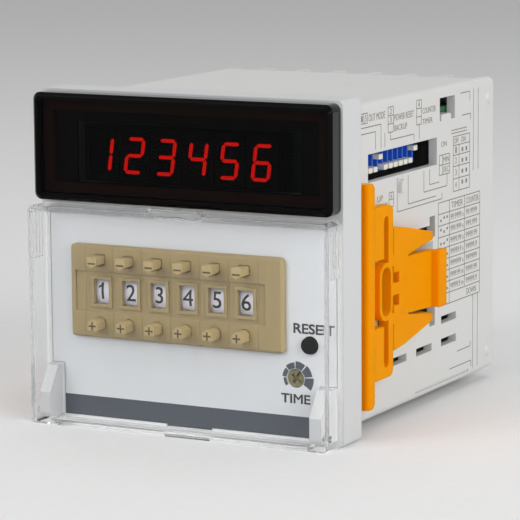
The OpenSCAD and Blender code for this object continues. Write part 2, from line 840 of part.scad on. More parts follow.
module end_plate(outer, inner, band_end) {
    // Outer and inner are the plate's outer and inner edges; the band runs from the inner edge to band_end
    x0 = min(outer, inner);
    x1 = max(outer, inner);
    towards = outer < inner ? 1 : -1;
    half = switch_h / 2;
    round_r = 1.2;
    lip = outer + towards * cutout_lip;
    difference() {
        along_x(x0, x1) switch_section();
        box(min(outer, lip) - over, max(outer, lip) + (towards < 0 ? over : 0),
            front_y, switch_back + over, switch_z - half, switch_z + half);
        box(min(inner, band_end) - over, max(inner, band_end) + (towards < 0 ? 0 : over),
            switch_face - over, switch_face + band_t, switch_z - band_h / 2, switch_z + band_h / 2);
        // Rounded outer corners of the face
        for (side = [-1, 1])
            along_y(switch_face - over, front_y + over)
                polygon(concat([[outer - towards * over, switch_z + side * (half + over)]],
                    arc(outer + towards * round_r, switch_z + side * (half - round_r), round_r,
                        towards > 0 ? 180 : 0, towards > 0 ? 180 - side * 90 : side * 90)));
        // Bevelled outer edge of the face
        along_z(switch_z - half - over, switch_z + half + over)
            polygon([[outer - towards * over, switch_face - over],
                [outer - towards * over, switch_face + switch_bevel],
                [outer, switch_face + switch_bevel], [outer + towards * switch_bevel, switch_face],
                [outer + towards * switch_bevel, switch_face - over]]);
    }
}

module switch_end_left() {
    color("tan") end_plate(switch_left, switch_left + end_left_w - module_gap, switch_left + band_left);
}

module switch_end_right() {
    edge = switch_left + switch_w;
    color("tan") end_plate(edge, edge - end_right_w + module_gap, edge - end_right_w + band_right);
}

function module_x(i) = switch_left + end_left_w + (i - 0.5) * module_w;

// Five-sided step button outline, its point towards the number window
module button_outline(side, grow) {
    a = button_w / 2 + grow;
    b = button_h / 2 + grow;
    point = 0.65;
    translate([button_shift, switch_z + side * button_rise])
        scale([1, side])
            polygon([[-a, b], [a, b], [a, -b + point], [0, -b], [-a, -b + point]]);
}

// Shoulder that keeps a step button in its module: level with the button's point on the inner side
module button_shoulder(side, y0, y1, grow) {
    near = switch_z + side * (button_rise - button_h / 2 - grow);
    far = switch_z + side * (button_rise + shoulder_z + grow);
    half = shoulder_x + grow;
    box(button_shift - half, button_shift + half, y0, y1, min(near, far), max(near, far));
}

module switch_module(i) {
    half = module_w / 2 - module_gap;
    color("tan") translate([module_x(i), 0, 0]) difference() {
        union() {
            difference() {
                along_x(-half, half) switch_section();
                box(-half - over, half + over, switch_face - over, switch_face + band_t,
                    switch_z - band_h / 2, switch_z + band_h / 2);
            }
            box(number_shift - number_w / 2 - number_rim, number_shift + number_w / 2 + number_rim,
                switch_face, switch_face + band_t + over,
                switch_z - number_h / 2 - number_rim, switch_z + number_h / 2 + number_rim);
        }
        box(number_shift - number_w / 2, number_shift + number_w / 2, switch_face - over, wheel_y,
            switch_z - number_h / 2, switch_z + number_h / 2);
        rod_x(wheel_y, switch_z, cavity_r, -cavity_w / 2, cavity_w / 2);
        box(-cavity_w / 2, cavity_w / 2, wheel_y, switch_back + over,
            switch_z - cavity_r, switch_z + cavity_r);
        rod_x(wheel_y, switch_z, axle_r + pin_fit, -half - over, half + over);
        for (side = [-1, 1]) {
            along_y(switch_face - over, switch_face + face_wall + over) button_outline(side, slide_fit);
            button_shoulder(side, switch_face + face_wall,
                switch_face + face_wall + shoulder_t + button_travel + clear, slide_fit);
        }
    }
}

// Number wheel: rim, web and hub on stub axles, with a ring of detent holes in the web
module number_wheel(i) {
    rim = 1.3;
    web = 0.6;
    hub_r = axle_r + 0.9;
    axle_half = module_w / 2 - module_gap - 0.1;
    color("lavender") translate([module_x(i), wheel_y, switch_z]) rotate([0, 90, 0]) difference() {
        rotate_extrude() polygon([
            [0, -axle_half], [axle_r, -axle_half], [axle_r, -wheel_w / 2], [hub_r, -wheel_w / 2],
            [hub_r, -web], [wheel_r - rim, -web], [wheel_r - rim, -wheel_w / 2], [wheel_r, -wheel_w / 2],
            [wheel_r, wheel_w / 2], [wheel_r - rim, wheel_w / 2], [wheel_r - rim, web], [hub_r, web],
            [hub_r, wheel_w / 2], [axle_r, wheel_w / 2], [axle_r, axle_half], [0, axle_half]]);
        for (k = [0:detents - 1]) rotate(k * 360 / detents)
            translate([(hub_r + wheel_r - rim) / 2, 0, -web - over]) cylinder(r = 0.7, h = 2 * (web + over));
    }
}

module step_button(i, side) {
    seat = switch_face + face_wall + pin_fit;
    color("burlywood") translate([module_x(i), 0, 0]) {
        along_y(button_front, seat + over / 2) button_outline(side, 0);
        button_shoulder(side, seat, seat + shoulder_t, 0);
    }
}

// Reset button, its contact switch, the trimmer and their board
flange_y = front_y + panel_t + 0.1;
plunger_y = flange_y + flange_t + reset_travel + 0.1;

module reset_button() {
    color("#202020") {
        rod_y(reset_x, reset_z, reset_r, front_y - reset_out, flange_y + flange_t / 2);
        rod_y(reset_x, reset_z, flange_r, flange_y, flange_y + flange_t);
    }
}

module reset_switch() {
    half = 2.5;
    color("dimgray") {
        box(reset_x - half, reset_x + half, control_y - tact_h, control_y, reset_z - half, reset_z + half);
        rod_y(reset_x, reset_z, 1.2, plunger_y, control_y - tact_h / 2);
    }
}

trimmer_half = 2.8;
stem_r = 1;
trimmer_front = front_y + panel_t + 0.9;

module trimmer_body() {
    color("royalblue") difference() {
        box(trimmer_x - trimmer_half, trimmer_x + trimmer_half, trimmer_front, control_y,
            trimmer_z - trimmer_half, trimmer_z + trimmer_half);
        rod_y(trimmer_x, trimmer_z, stem_r + pin_fit, trimmer_front - over, control_y - 0.3);
    }
}

module trimmer_rotor() {
    face = front_y + trimmer_in;
    slot_w = 0.6;
    color("#8a8270") difference() {
        union() {
            rod_y(trimmer_x, trimmer_z, trimmer_r, face, trimmer_front - fit);
            rod_y(trimmer_x, trimmer_z, stem_r, face + slot_w, control_y - 0.5);
        }
        translate([trimmer_x, 0, trimmer_z]) for (turn = [35, 125]) rotate([0, turn, 0])
            box(-slot_w / 2, slot_w / 2, face - over, face + slot_w,
                -trimmer_r + slot_w, trimmer_r - slot_w / 2);
    }
}

module control_board() {
    color("darkgreen") box(switch_left + switch_w - cutout_lip + clear, panel_x - control_side,
        control_y, control_y + board_t, trimmer_z - control_below, reset_z + control_above);
}

// Upper board with the ten setting switches under its right edge
function lever_y(i) = dip_mid + (i - (levers + 1) / 2) * lever_pitch;
function lever_z(i) = dip_window_z + (len(search(i, levers_up)) > 0 ? 1 : -1) * lever_travel / 2;

module upper_board() {
    color("darkgreen") box(-board_x, board_x, board_front, board_back, upper_z - board_t, upper_z);
}

module dip_body() {
    high = lever_h / 2 + lever_travel / 2 + slide_fit;
    color("#1045b0") difference() {
        box(dip_face - dip_d, dip_face, dip_mid - dip_l / 2, dip_mid + dip_l / 2, dip_low, upper_z - board_t);
        for (i = [1:levers])
            box(dip_face - lever_sink - slide_fit, dip_face + over, lever_y(i) - lever_w / 2 - slide_fit,
                lever_y(i) + lever_w / 2 + slide_fit, dip_window_z - high, dip_window_z + high);
    }
}

module dip_lever(i) {
    tip = 0.15;
    z = lever_z(i);
    y = lever_y(i);
    color("ivory") along_z(z - lever_h / 2, z + lever_h / 2)
        polygon([[dip_face - lever_sink, y - lever_w / 2], [lever_face - tip, y - lever_w / 2],
            [lever_face, y - lever_w / 2 + tip], [lever_face, y + lever_w / 2 - tip],
            [lever_face - tip, y + lever_w / 2], [dip_face - lever_sink, y + lever_w / 2]]);
}

// Lower board with the mains transformer and the output relay
module power_board() {
    color("darkgreen") box(-board_x, board_x, board_front, board_back, lower_z, lower_z + board_t);
}

module power_transformer() {
    z = lower_z + board_t;
    x = transformer_x;
    coil_z = z + (transformer_h - coil_h) / 2;
    color("slategray") {
        box(x - transformer_w / 2, x + transformer_w / 2,
            parts_y - transformer_d / 2, parts_y + transformer_d / 2, z, z + transformer_h);
        along_y(parts_y - coil_l / 2, parts_y + coil_l / 2)
            polygon(round_rect(x - coil_w / 2, coil_z, x + coil_w / 2, coil_z + coil_h, coil_r));
    }
}

module output_relay() {
    z = lower_z + board_t;
    side = relay_x + relay_w / 2;
    top = z + relay_h;
    color("#303438") along_y(parts_y - relay_l / 2, parts_y + relay_l / 2)
        polygon([[relay_x - relay_w / 2, z], [side, z], [side, top - relay_cut], [side - relay_cut, top],
            [relay_x - relay_w / 2, top]]);
}

// Terminal block: a plate that closes the case, a ridge, and barriers between the bays
module barrier(x) {
    top = case_z;
    step_y = case_l - end_recess + fit;
    along_x(x - barrier_t / 2, x + barrier_t / 2)
        polygon(concat(
            [[bay_floor - over, ridge_h / 2 - over], [case_l, ridge_h / 2 - over]],
            arc(case_l - case_rear_r, top - case_rear_r, case_rear_r, 0, 90),
            [[step_y, top], [step_y, block_z], [bay_floor - over, block_z]]));
}

function bay_x(i) = (i - (bays - 1) / 2) * bay_pitch;

module terminal_block() {
    color("silver") difference() {
        union() {
            box(-block_x, block_x, block_front, bay_floor, -block_z, block_z);
            box(-block_x, block_x, bay_floor - over, ridge_back, -ridge_h / 2, ridge_h / 2);
            top_and_bottom() for (i = [0:bays - 2]) barrier(bay_x(i) + bay_pitch / 2);
        }
        top_and_bottom() for (i = [0:bays - 1])
            rod_y(bay_x(i), screw_z, screw_r + 0.1, block_front - over, bay_floor + over);
    }
}

module terminal_plates() {
    color("#c8ccd0") top_and_bottom() for (i = [0:bays - 1]) difference() {
        box(bay_x(i) - plate_w / 2, bay_x(i) + plate_w / 2, bay_floor, bay_floor + plate_t,
            screw_z - plate_h / 2, screw_z + plate_h / 2);
        rod_y(bay_x(i), screw_z, screw_r + 0.1, bay_floor - over, bay_floor + plate_t + over);
    }
}

module terminal_screws() {
    seat = bay_floor + plate_t;
    slot_w = 0.9;
    color("lightsteelblue") top_and_bottom()
    for (i = [0:bays - 1]) translate([bay_x(i), 0, screw_z]) difference() {
        union() {
            rod_y(0, 0, screw_r, block_front + 0.5, seat + over);
            rod_y(0, 0, screw_head_r, seat, seat + screw_head_h);
        }
        for (turn = [0, 90]) rotate([0, turn, 0])
            box(-slot_w / 2, slot_w / 2, seat + screw_head_h - 1, seat + screw_head_h + over, -2, 2);
    }
}

// Bracket: clamping bar, spring loops, body with two guided prongs, and a lever tab over the rack
module spring_loop() {
    // One hairpin above the bracket's centre: a wide leg on the bar, a narrow one down to the body
    narrow = loop_slot + loop_gap;
    difference() {
        polygon(concat([[loop_end, loop_foot]],
            arc(loop_end - loop_r, loop_h - loop_r, loop_r, 0, 90),
            arc(loop_y + loop_edge, loop_h - loop_edge, loop_edge, 90, 180),
            arc(loop_y + loop_edge, loop_foot + loop_edge, loop_edge, 180, 270)));
        polygon(round_rect(loop_slot, loop_foot - loop_gap, narrow, loop_h - loop_rim, loop_gap / 2));
    }
    translate([bar_back - over, loop_foot + over]) square([loop_y - bar_back + 2 * over, ring_r]);
    translate([narrow, loop_join]) square([loop_rim, loop_h - loop_r - loop_join]);
    translate([loop_end - over, loop_join]) square([body_y - loop_end + 2 * over, loop_link]);
}

module spring_ring() {
    difference() {
        polygon(round_rect(ring_y, -ring_half, loop_end, ring_half, ring_r));
        polygon(round_rect(ring_y + ring_rim, -ring_half + ring_rim, loop_end - ring_rim,
            ring_half - ring_rim, ring_r - ring_rim));
    }
    translate([loop_end - over, -dent_z]) square([body_y - loop_end + 2 * over, 2 * dent_z]);
}

module bracket_body() {
    difference() {
        union() {
            translate([body_y, -tab_half - over]) square([body_end - body_y, 2 * (tab_half + over)]);
            for (side = [-1, 1]) scale([1, side])
                polygon([[body_y, tab_half], [body_end, tab_half + prong_gap],
                    [body_end + prong_bend_y, tab_half + prong_bend_z],
                    [prong_end, slot_rise - prong_half], [prong_end, slot_rise + prong_half],
                    [key_y, body_top - body_cut], [body_y, body_top]]);
        }
        for (side = [-1, 1]) scale([1, side])
            translate([body_y - over, dent_z]) square([dent_y + over, dent_h]);
    }
}

module lever_tab() {
    outer = bracket_x + bracket_t;
    root = body_end - tab_root;
    along_z(-tab_half, tab_half) polygon([
        [channel_x, root], [outer, root], [outer, body_end], [outer + tab_slope, tab_knee],
        [outer + tab_rise - tab_edge, tab_knee + tab_edge], [outer + tab_rise, tab_knee + 2 * tab_edge],
        [outer + tab_rise, tab_end], [outer + tab_rise - tab_t, tab_end],
        [outer + tab_slope, tab_knee + tab_t + 2 * tab_edge], [outer - 2 * tab_edge, tab_knee + 2 * tab_edge],
        [channel_x, body_end + tab_under]]);
    // Pawl under the tab, just clear of the teeth
    pawl_front = body_end + pawl_y;
    pawl_back = pawl_front + pawl_l;
    along_z(-tab_half + pawl_in, tab_half - pawl_in) polygon([
        [outer - 3 * tab_edge, pawl_front], [channel_x, pawl_back - 2 * pawl_tip],
        [channel_x, pawl_back - pawl_tip], [outer - 2 * tab_edge, pawl_back]]);
}

// Guide key of a prong: passes through the slot and hooks behind the wall
module guide_key(side) {
    key = slot_h / 2 - clear;
    z = side * slot_rise;
    hook = case_in_x - clear;
    far = z + side * (key + hook_h);
    end = prong_end - key_short;
    box(hook - hook_t, bracket_x + over, key_y, end, z - key, z + key);
    box(hook - hook_t, hook, end - hook_l, end, min(z, far), max(z, far));
}

// Clamping bar: rounded along its outer front edge, its rear corners cut
module clamping_bar() {
    half = bar_h / 2;
    outer = bracket_x + bar_t;
    cut = 1;
    intersection() {
        along_z(-half, half)
            polygon(concat([[bracket_x, bar_back], [bracket_x, bar_gap]],
                arc(outer - bar_r, bar_gap + bar_r, bar_r, 270, 360), [[outer, bar_back]]));
        along_x(bracket_x - over, outer + over)
            polygon([[bar_gap, -half], [bar_back - cut, -half], [bar_back, -half + cut],
                [bar_back, half - cut], [bar_back - cut, half], [bar_gap, half]]);
    }
}

module bracket() {
    channel_half = rack_half + clear;
    translate([0, 0, bracket_z]) {
        clamping_bar();
        // Thin web between the bar and the ring
        box(bracket_x, bracket_x + ring_web_t, bar_back - over, ring_y + over,
            -ring_half - loop_rim, ring_half + loop_rim);
        difference() {
            along_x(bracket_x, bracket_x + bracket_t) {
                for (side = [-1, 1]) scale([1, side]) spring_loop();
                spring_ring();
                bracket_body();
            }
            box(bracket_x - over, channel_x, rack_front - bracket_travel - clear, tab_end,
                -channel_half, channel_half);
        }
        lever_tab();
        for (side = [-1, 1]) guide_key(side);
    }
}

module bracket_right() {
    color("orange") bracket();
}

module bracket_left() {
    color("orange") mirror([1, 0, 0]) bracket();
}

case();
front_bezel();
display_window();
display_mask();
display_board();
digit_blocks();
lit_segments();
front_panel();
front_cover();
switch_end_left();
switch_end_right();
for (i = [1:modules]) {
    switch_module(i);
    number_wheel(i);
    step_button(i, 1);
    step_button(i, -1);
}
reset_button();
reset_switch();
trimmer_body();
trimmer_rotor();
control_board();
upper_board();
dip_body();
for (i = [1:levers]) {
    dip_lever(i);
}
power_board();
power_transformer();
output_relay();
terminal_block();
terminal_plates();
terminal_screws();
bracket_left();
bracket_right();
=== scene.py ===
"""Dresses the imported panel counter: finishes for its solids, printed marks, figures, and a plain studio."""

import math

import bpy
from bpy.props import FloatProperty, FloatVectorProperty, IntProperty, PointerProperty
from mathutils import Matrix, Vector


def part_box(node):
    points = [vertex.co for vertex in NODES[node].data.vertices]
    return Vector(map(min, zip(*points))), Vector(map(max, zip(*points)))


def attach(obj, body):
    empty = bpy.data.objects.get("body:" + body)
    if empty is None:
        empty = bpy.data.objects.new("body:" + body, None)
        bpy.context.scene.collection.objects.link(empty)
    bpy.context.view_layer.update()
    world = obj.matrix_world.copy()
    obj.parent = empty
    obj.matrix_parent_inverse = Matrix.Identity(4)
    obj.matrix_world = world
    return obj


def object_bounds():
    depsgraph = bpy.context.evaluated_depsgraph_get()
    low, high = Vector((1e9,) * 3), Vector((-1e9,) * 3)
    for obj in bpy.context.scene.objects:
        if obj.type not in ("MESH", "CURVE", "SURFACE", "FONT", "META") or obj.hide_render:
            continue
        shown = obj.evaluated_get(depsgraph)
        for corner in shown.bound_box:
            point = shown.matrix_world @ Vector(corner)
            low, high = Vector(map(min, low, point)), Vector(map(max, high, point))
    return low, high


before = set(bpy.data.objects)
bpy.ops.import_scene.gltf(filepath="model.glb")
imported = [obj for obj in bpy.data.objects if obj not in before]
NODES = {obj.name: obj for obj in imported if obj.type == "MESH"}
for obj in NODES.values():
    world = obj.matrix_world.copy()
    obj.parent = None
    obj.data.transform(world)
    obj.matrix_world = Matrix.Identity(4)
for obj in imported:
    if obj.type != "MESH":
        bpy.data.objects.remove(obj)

bl_info = {
    "name": "Panel counter",
    "version": (1, 0, 0),
    "blender": (4, 5, 0),
    "location": "3D View > Sidebar > Counter",
    "description": "Finishes, printed marks and a studio for a panel counter",
    "category": "Object",
}

MM = 0.001
CAD_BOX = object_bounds()
MODULES = range(1, 7)
LEVERS = range(1, 11)
FIGURES = range(10)


# Settings


def linear(code):
    """A six-digit screen colour as linear red, green and blue"""
    parts = [int(code[i:i + 2], 16) / 255 for i in (0, 2, 4)]
    return tuple(c / 12.92 if c <= 0.04045 else ((c + 0.055) / 1.055) ** 2.4 for c in parts)


def colour_prop(name, description, code):
    return FloatVectorProperty(name=name, description=description, default=linear(code), subtype="COLOR",
                               min=0, max=1)


def length_prop(name, description, millimetres):
    return FloatProperty(name=name, description=description, default=millimetres * MM, unit="LENGTH",
                         precision=5)


def angle_prop(name, description, degrees):
    return FloatProperty(name=name, description=description, default=math.radians(degrees), subtype="ANGLE")


def number_prop(name, description, default, high=1.0):
    return FloatProperty(name=name, description=description, default=default, min=0, max=high)


class CounterColours(bpy.types.PropertyGroup):
    """Colours of the counter's plastics, inks and metals"""
    case: colour_prop("Case", "Pale grey of the case and the terminal block", "d2d2d0")
    bezel: colour_prop("Bezel", "Pale grey of the bezel", "cdcecf")
    panel: colour_prop("Panel", "Pale grey of the front panel", "c6c8cb")
    band: colour_prop("Band", "Slate of the band at the panel's foot and of the dial", "3e444d")
    ink: colour_prop("Front ink", "Dark ink of the words", "1f2126")
    side_ink: colour_prop("Side ink", "Brown-grey ink of the wiring print", "7f786d")
    switch: colour_prop("Switch", "Tan of the push-wheel switch", "94825a")
    button: colour_prop("Button", "Lighter tan of the step buttons", "a89468")
    sign: colour_prop("Sign", "Brown ink of the minus and plus signs", "4c3c24")
    wheel: colour_prop("Wheel", "White of the number wheels", "d6d4dd")
    figure: colour_prop("Figure", "Dark ink of the wheels' figures", "1c1c20")
    reset: colour_prop("Reset", "Black of the reset button", "050505")
    trimmer: colour_prop("Trimmer", "Olive of the timer trimmer", "6f6949")
    trimmer_body: colour_prop("Trimmer body", "Blue of the trimmer behind the panel", "1c4a9c")
    bracket: colour_prop("Bracket", "Orange of the panel brackets", "ea9000")
    lever_block: colour_prop("Setting switch", "Blue of the setting switch", "2a64cc")
    lever: colour_prop("Lever", "Ivory of the setting levers", "e9e6d8")
    lit: colour_prop("Lit segment", "Red of the lit digits", "f01208")
    digit: colour_prop("Digit block", "Black of the digit blocks", "0e0a0a")
    mask: colour_prop("Mask", "Black of the mask behind the window", "100e0e")
    border: colour_prop("Border", "Brown of the border behind the window", "703a2c")
    board: colour_prop("Board", "Green of the circuit boards", "1f5a36")
    core: colour_prop("Core", "Steel of the transformer", "6b6f76")
    relay: colour_prop("Relay", "Black of the relay", "1c1d20")
    plating: colour_prop("Plating", "Bright plating of the terminals", "c3c3c0")


class CounterFront(bpy.types.PropertyGroup):
    """Painted areas of the front, painted shade on its hinge posts, and its light"""
    band_height: length_prop("Band height", "Height of the slate band above the panel's foot", 4.75)
    band_inset: length_prop("Band inset", "Distance from the panel's sides to the band", 2.7)
    post_step: length_prop("Post step", "Distance from the panel at which the hinge posts begin", 0.6)
    # Painted shade: the hinge posts are coloured darker than the rest of the bezel to stand for the shade
    # they sit in
    post_tone: number_prop("Post tone", "Brightness of the hinge posts against the bezel", 0.78)
    border_depth: length_prop("Border depth", "Depth of the brown border from the mask's front", 1.1)
    rim: length_prop("Window rim", "Width of the window's opaque rim", 1.5)
    tint: number_prop("Window tint", "Opacity of the window inside its rim", 0.56)
    glow: number_prop("Glow", "Emission strength of the lit segments", 2.8, 20)


class CounterPrint(bpy.types.PropertyGroup):
    """Sizes of the printed marks"""
    lift: length_prop("Lift", "Height of the ink's back above the plastic", 0.004)
    depth: length_prop("Depth", "Thickness of the ink", 0.02)
    rule: length_prop("Rule", "Width of the printed lines on the case", 0.2)
    bold: number_prop("Bold", "Growth of the bold letters, as a share of their size", 0.045, 0.06)
    figure_height: length_prop("Figure height", "Height of the figures on the wheels", 3.6)
    sign: length_prop("Sign", "Length of the minus and plus signs", 1.8)
    sign_stroke: length_prop("Sign stroke", "Width of the signs' strokes", 0.36)
    dial_wedges: IntProperty(name="Dial wedges", description="Wedges in the timer's dial", default=6, min=3,
                             max=12)
    dial_start: angle_prop("Dial start", "Angle of the dial's first wedge", 218)
    dial_sweep: angle_prop("Dial sweep", "Angle that the dial covers", 256)
    dial_fill: number_prop("Dial fill", "Share of the dial that is ink, the rest being gaps", 0.9)
    dial_inner: length_prop("Dial inner radius", "Inner radius of the timer's dial", 2.1)
    dial_small: length_prop("Dial small radius", "Outer radius of the dial's first wedge", 2.8)
    dial_large: length_prop("Dial large radius", "Outer radius of the dial's last wedge", 4.2)


class CounterStudio(bpy.types.PropertyGroup):
    """Camera, lamps and backdrop"""
    azimuth: angle_prop("Azimuth", "Camera's turn to the right of the front", 27.69)
    elevation: angle_prop("Elevation", "Camera's angle above the horizon", 8.907)
    roll: angle_prop("Roll", "Camera's turn about its own axis", -0.415)
    aim: FloatVectorProperty(name="Aim", description="Point that the camera looks at", subtype="TRANSLATION",
                             unit="LENGTH", default=(-3.42 * MM, 30 * MM, -4.68 * MM))
    distance: length_prop("Distance", "Camera's distance from the aim point", 636.8)
    lens: number_prop("Lens", "Focal length in millimetres", 197.9, 400)
    key: number_prop("Key lamp", "Power of the key lamp in watts", 2.75, 100)
    fill: number_prop("Fill lamp", "Power of the fill lamp in watts", 4.6, 100)
    top: number_prop("Top lamp", "Power of the top lamp in watts", 1.9, 100)
    ambient: number_prop("Ambient", "Strength of the surrounding light", 0.42)
    backdrop: number_prop("Backdrop", "Brightness of the backdrop behind the floor", 0.9)


def settings():
    scene = bpy.context.scene
    return scene.counter_colours, scene.counter_front, scene.counter_print, scene.counter_studio


# Shaders

# Noise scales, in waves per metre
FLOW = 42
GRIT = 3400
SCUFF = 190
BOARD_WEAVE = 1300
INK_FILM = 5200
TOOL_MARKS = 900
COVER_SMEAR = 95
COVER_HAZE = 1500
WINDOW_SMEAR = 60
WINDOW_GRAIN = 900
GLOW_CELLS = 700
PAPER_FIBRE = 420

# Share of the flow marks in a moulding's tone, and how far scuffs and grit change its roughness
FLOW_SHARE = 0.7
SCUFF_WEAR = 0.16
GRIT_WEAR = 0.14

# How far smears change the window's opacity, and the coat on its rim
SMEAR_TINT = 0.02
RIM_COAT = 0.7


class Value:
    """A shader socket that can stand in a Python expression"""

    def __init__(self, nodes, socket):
        self.nodes = nodes
        self.socket = socket

    def math(self, operation, *others):
        return self.nodes.node("ShaderNodeMath", {"operation": operation}, dict(enumerate([self, *others])))

    def __add__(self, other):
        return self.math("ADD", other)

    def __sub__(self, other):
        return self.math("SUBTRACT", other)

    def __mul__(self, other):
        return self.math("MULTIPLY", other)

    def __gt__(self, other):
        return self.math("GREATER_THAN", other)

    def __lt__(self, other):
        return self.math("LESS_THAN", other)

    def __abs__(self):
        return self.math("ABSOLUTE")


class Nodes:
    """A node tree that can be written as Python expressions"""

    def __init__(self, tree):
        self.tree = tree

    def node(self, kind, setup=None, values=None, out=0):
        """Adds a node, sets it up, feeds its sockets and returns one output as a Value"""
        made = self.tree.nodes.new(kind)
        for key, value in (setup or {}).items():
            setattr(made, key, value)
        self.feed(made, values or {})
        return Value(self, made.outputs[out])

    def feed(self, made, values):
        for key, value in values.items():
            socket = made.inputs[key]
            if isinstance(value, Value):
                self.tree.links.new(value.socket, socket)
            elif socket.type == "RGBA":
                socket.default_value = (*value[:3], 1)
            else:
                socket.default_value = value


class Finish(Nodes):
    """One procedural material: a Principled shader and the nodes that feed it"""

    def __init__(self, name):
        self.material = bpy.data.materials.new(name)
        self.material.use_nodes = True
        super().__init__(self.material.node_tree)
        self.shader = self.tree.nodes["Principled BSDF"]
        self.where = self.node("ShaderNodeTexCoord", out="Object")

    def set(self, values):
        self.feed(self.shader, values)
        return self

    def noise(self, scale, detail, rough=0.5, vector=None):
        values = {"Vector": vector or self.where, "Scale": scale, "Detail": detail, "Roughness": rough}
        return self.node("ShaderNodeTexNoise", None, values)

    def mix(self, factor, first, second):
        values = {"Factor": factor, 6: first, 7: second}
        return self.node("ShaderNodeMix", {"data_type": "RGBA"}, values, out=2)

    def vary(self, factor, colour, dark, light):
        """The colour, which follows the factor from a darker to a lighter tone"""
        return self.mix(factor, shade(colour, dark), shade(colour, light))

    def axes(self):
        """The place on the part in metres, along X, Y and Z"""
        split = self.node("ShaderNodeSeparateXYZ", None, {0: self.where}).socket.node
        return [Value(self, socket) for socket in split.outputs]

    def rounded(self, radius):
        """Edges that look soft over a radius in millimetres"""
        return self.node("ShaderNodeBevel", {"samples": 6}, {"Radius": radius * MM})

    def relief(self, height, depth, strength, normal=None):
        """Fine bumps of a depth in millimetres"""
        values = {"Height": height, "Distance": depth * MM, "Strength": strength}
        if normal is not None:
            values["Normal"] = normal
        return self.node("ShaderNodeBump", None, values)


def shade(colour, amount):
    return tuple(min(1.0, c * amount) for c in colour[:3])


def between(factor, low, high):
    """A number that follows the factor from low to high"""
    return factor * (high - low) + low


def moulded(name, colour, rough, grain=1.0, edge=0.12, gloss=0.5, extra=None, more=None):
    """Moulded plastic: spark-eroded grain, faint flow marks and soft edges"""
    finish = Finish(name)
    flow = finish.noise(FLOW, detail=3, rough=0.6)
    grit = finish.noise(GRIT, detail=2, rough=0.6)
    scuff = finish.noise(SCUFF, detail=4, rough=0.65)
    tone = flow * FLOW_SHARE + grit * (1 - FLOW_SHARE)
    base = finish.vary(tone, colour, dark=0.95, light=1.05)
    if extra:
        base = extra(finish, base)
    wear = (scuff - 0.5) * SCUFF_WEAR + (grit - 0.5) * GRIT_WEAR
    finish.set({
        "Base Color": base,
        "Roughness": wear + rough,
        "Normal": finish.relief(grit, depth=0.006, strength=0.5 * grain, normal=finish.rounded(edge)),
        "Specular IOR Level": gloss,
    })
    return finish.set(more or {}).material


def ink(name, colour):
    """Screen-printed ink with a slightly broken film"""
    finish = Finish(name)
    film = finish.noise(INK_FILM, detail=2, rough=0.7)
    finish.set({
        "Base Color": finish.vary(film, colour, dark=0.82, light=1.18),
        "Roughness": between(film, 0.5, 0.7),
        "Normal": finish.relief(film, depth=0.003, strength=0.4),
    })
    return finish.material


def plated(name, colour, rough):
    """Plated or brushed metal with fine level tool marks"""
    finish = Finish(name)
    stretch = finish.node("ShaderNodeMapping", None, {"Vector": finish.where, "Scale": (1, 1, 7)})
    marks = finish.noise(TOOL_MARKS, detail=4, rough=0.6, vector=stretch)
    finish.set({
        "Base Color": finish.vary(marks, colour, dark=0.82, light=1.08),
        "Metallic": 1.0,
        "Roughness": between(marks, rough - 0.15, rough + 0.15),
        "Normal": finish.relief(marks, depth=0.01, strength=0.4, normal=finish.rounded(0.1)),
    })
    return finish.material


def clear_plastic(name):
    """Clear moulding with faint handling marks and soft edges"""
    finish = Finish(name)
    colour = (0.98, 0.985, 0.985)
    smear = finish.noise(COVER_SMEAR, detail=4, rough=0.6)
    haze = finish.noise(COVER_HAZE, detail=3, rough=0.6)
    finish.set({
        "Base Color": finish.vary(smear, colour, dark=0.985, light=1),
        "Roughness": between(smear, 0.012, 0.032),
        "Normal": finish.relief(haze, depth=0.001, strength=0.02, normal=finish.rounded(0.4)),
        "Transmission Weight": 1.0,
        "IOR": 1.3,
    })
    return finish.material


def tinted_window(name, front):
    """Dark window that lets the digits through, in an opaque glossy rim"""
    low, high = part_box("display_window")
    middle, half = (low + high) / 2, (high - low) / 2 - Vector((1, 1, 1)) * front.rim
    finish = Finish(name)
    smear = finish.noise(WINDOW_SMEAR, detail=3)
    grain = finish.noise(WINDOW_GRAIN, detail=2)
    x, y, z = finish.axes()
    rim = ((abs(x) > half.x) + (abs(z - middle.z) > half.z)) > 0.5
    behind_face = y > low.y + front.rim / 2
    finish.set({
        "Base Color": finish.mix(smear, (0.001, 0.001, 0.001), (0.003, 0.003, 0.003)),
        "Roughness": between(smear, 0.04, 0.08),
        "Normal": finish.relief(grain, depth=0.002, strength=0.15, normal=finish.rounded(0.3)),
        "Alpha": between(rim, front.tint, 1) + smear * SMEAR_TINT,
        "Coat Weight": rim * behind_face * RIM_COAT,
        "Specular IOR Level": 0.05,
    })
    return finish.material


def lit_segment(name, colour, strength):
    """Glowing red with faint cells"""
    finish = Finish(name)
    cells = finish.noise(GLOW_CELLS, detail=2)
    finish.set({
        "Base Color": finish.vary(cells, colour, dark=0.5, light=0.7),
        "Emission Color": finish.vary(cells, colour, dark=0.9, light=1),
        "Emission Strength": strength,
        "Roughness": between(cells, 0.4, 0.5),
    })
    return finish.material


def paper(name):
    """Pale studio paper with a faint fibre"""
    finish = Finish(name)
    fibre = finish.noise(PAPER_FIBRE, detail=3)
    finish.set({
        "Base Color": finish.mix(fibre, (0.80, 0.80, 0.80), (0.84, 0.84, 0.84)),
        "Roughness": between(fibre, 0.8, 0.9),
        "Normal": finish.relief(fibre, depth=0.05, strength=0.1),
    })
    return finish.material


# Modelling helpers

WELD = 0.001 * MM

# Letters before they are scaled to their place
LETTER_STEPS = 4
LETTER_EXTRUDE = 0.5
LETTER_WELD = 0.0001


def leave_edit():
    if bpy.context.object and bpy.context.object.mode != "OBJECT":
        bpy.ops.object.mode_set(mode="OBJECT")
    bpy.ops.object.select_all(action="DESELECT")


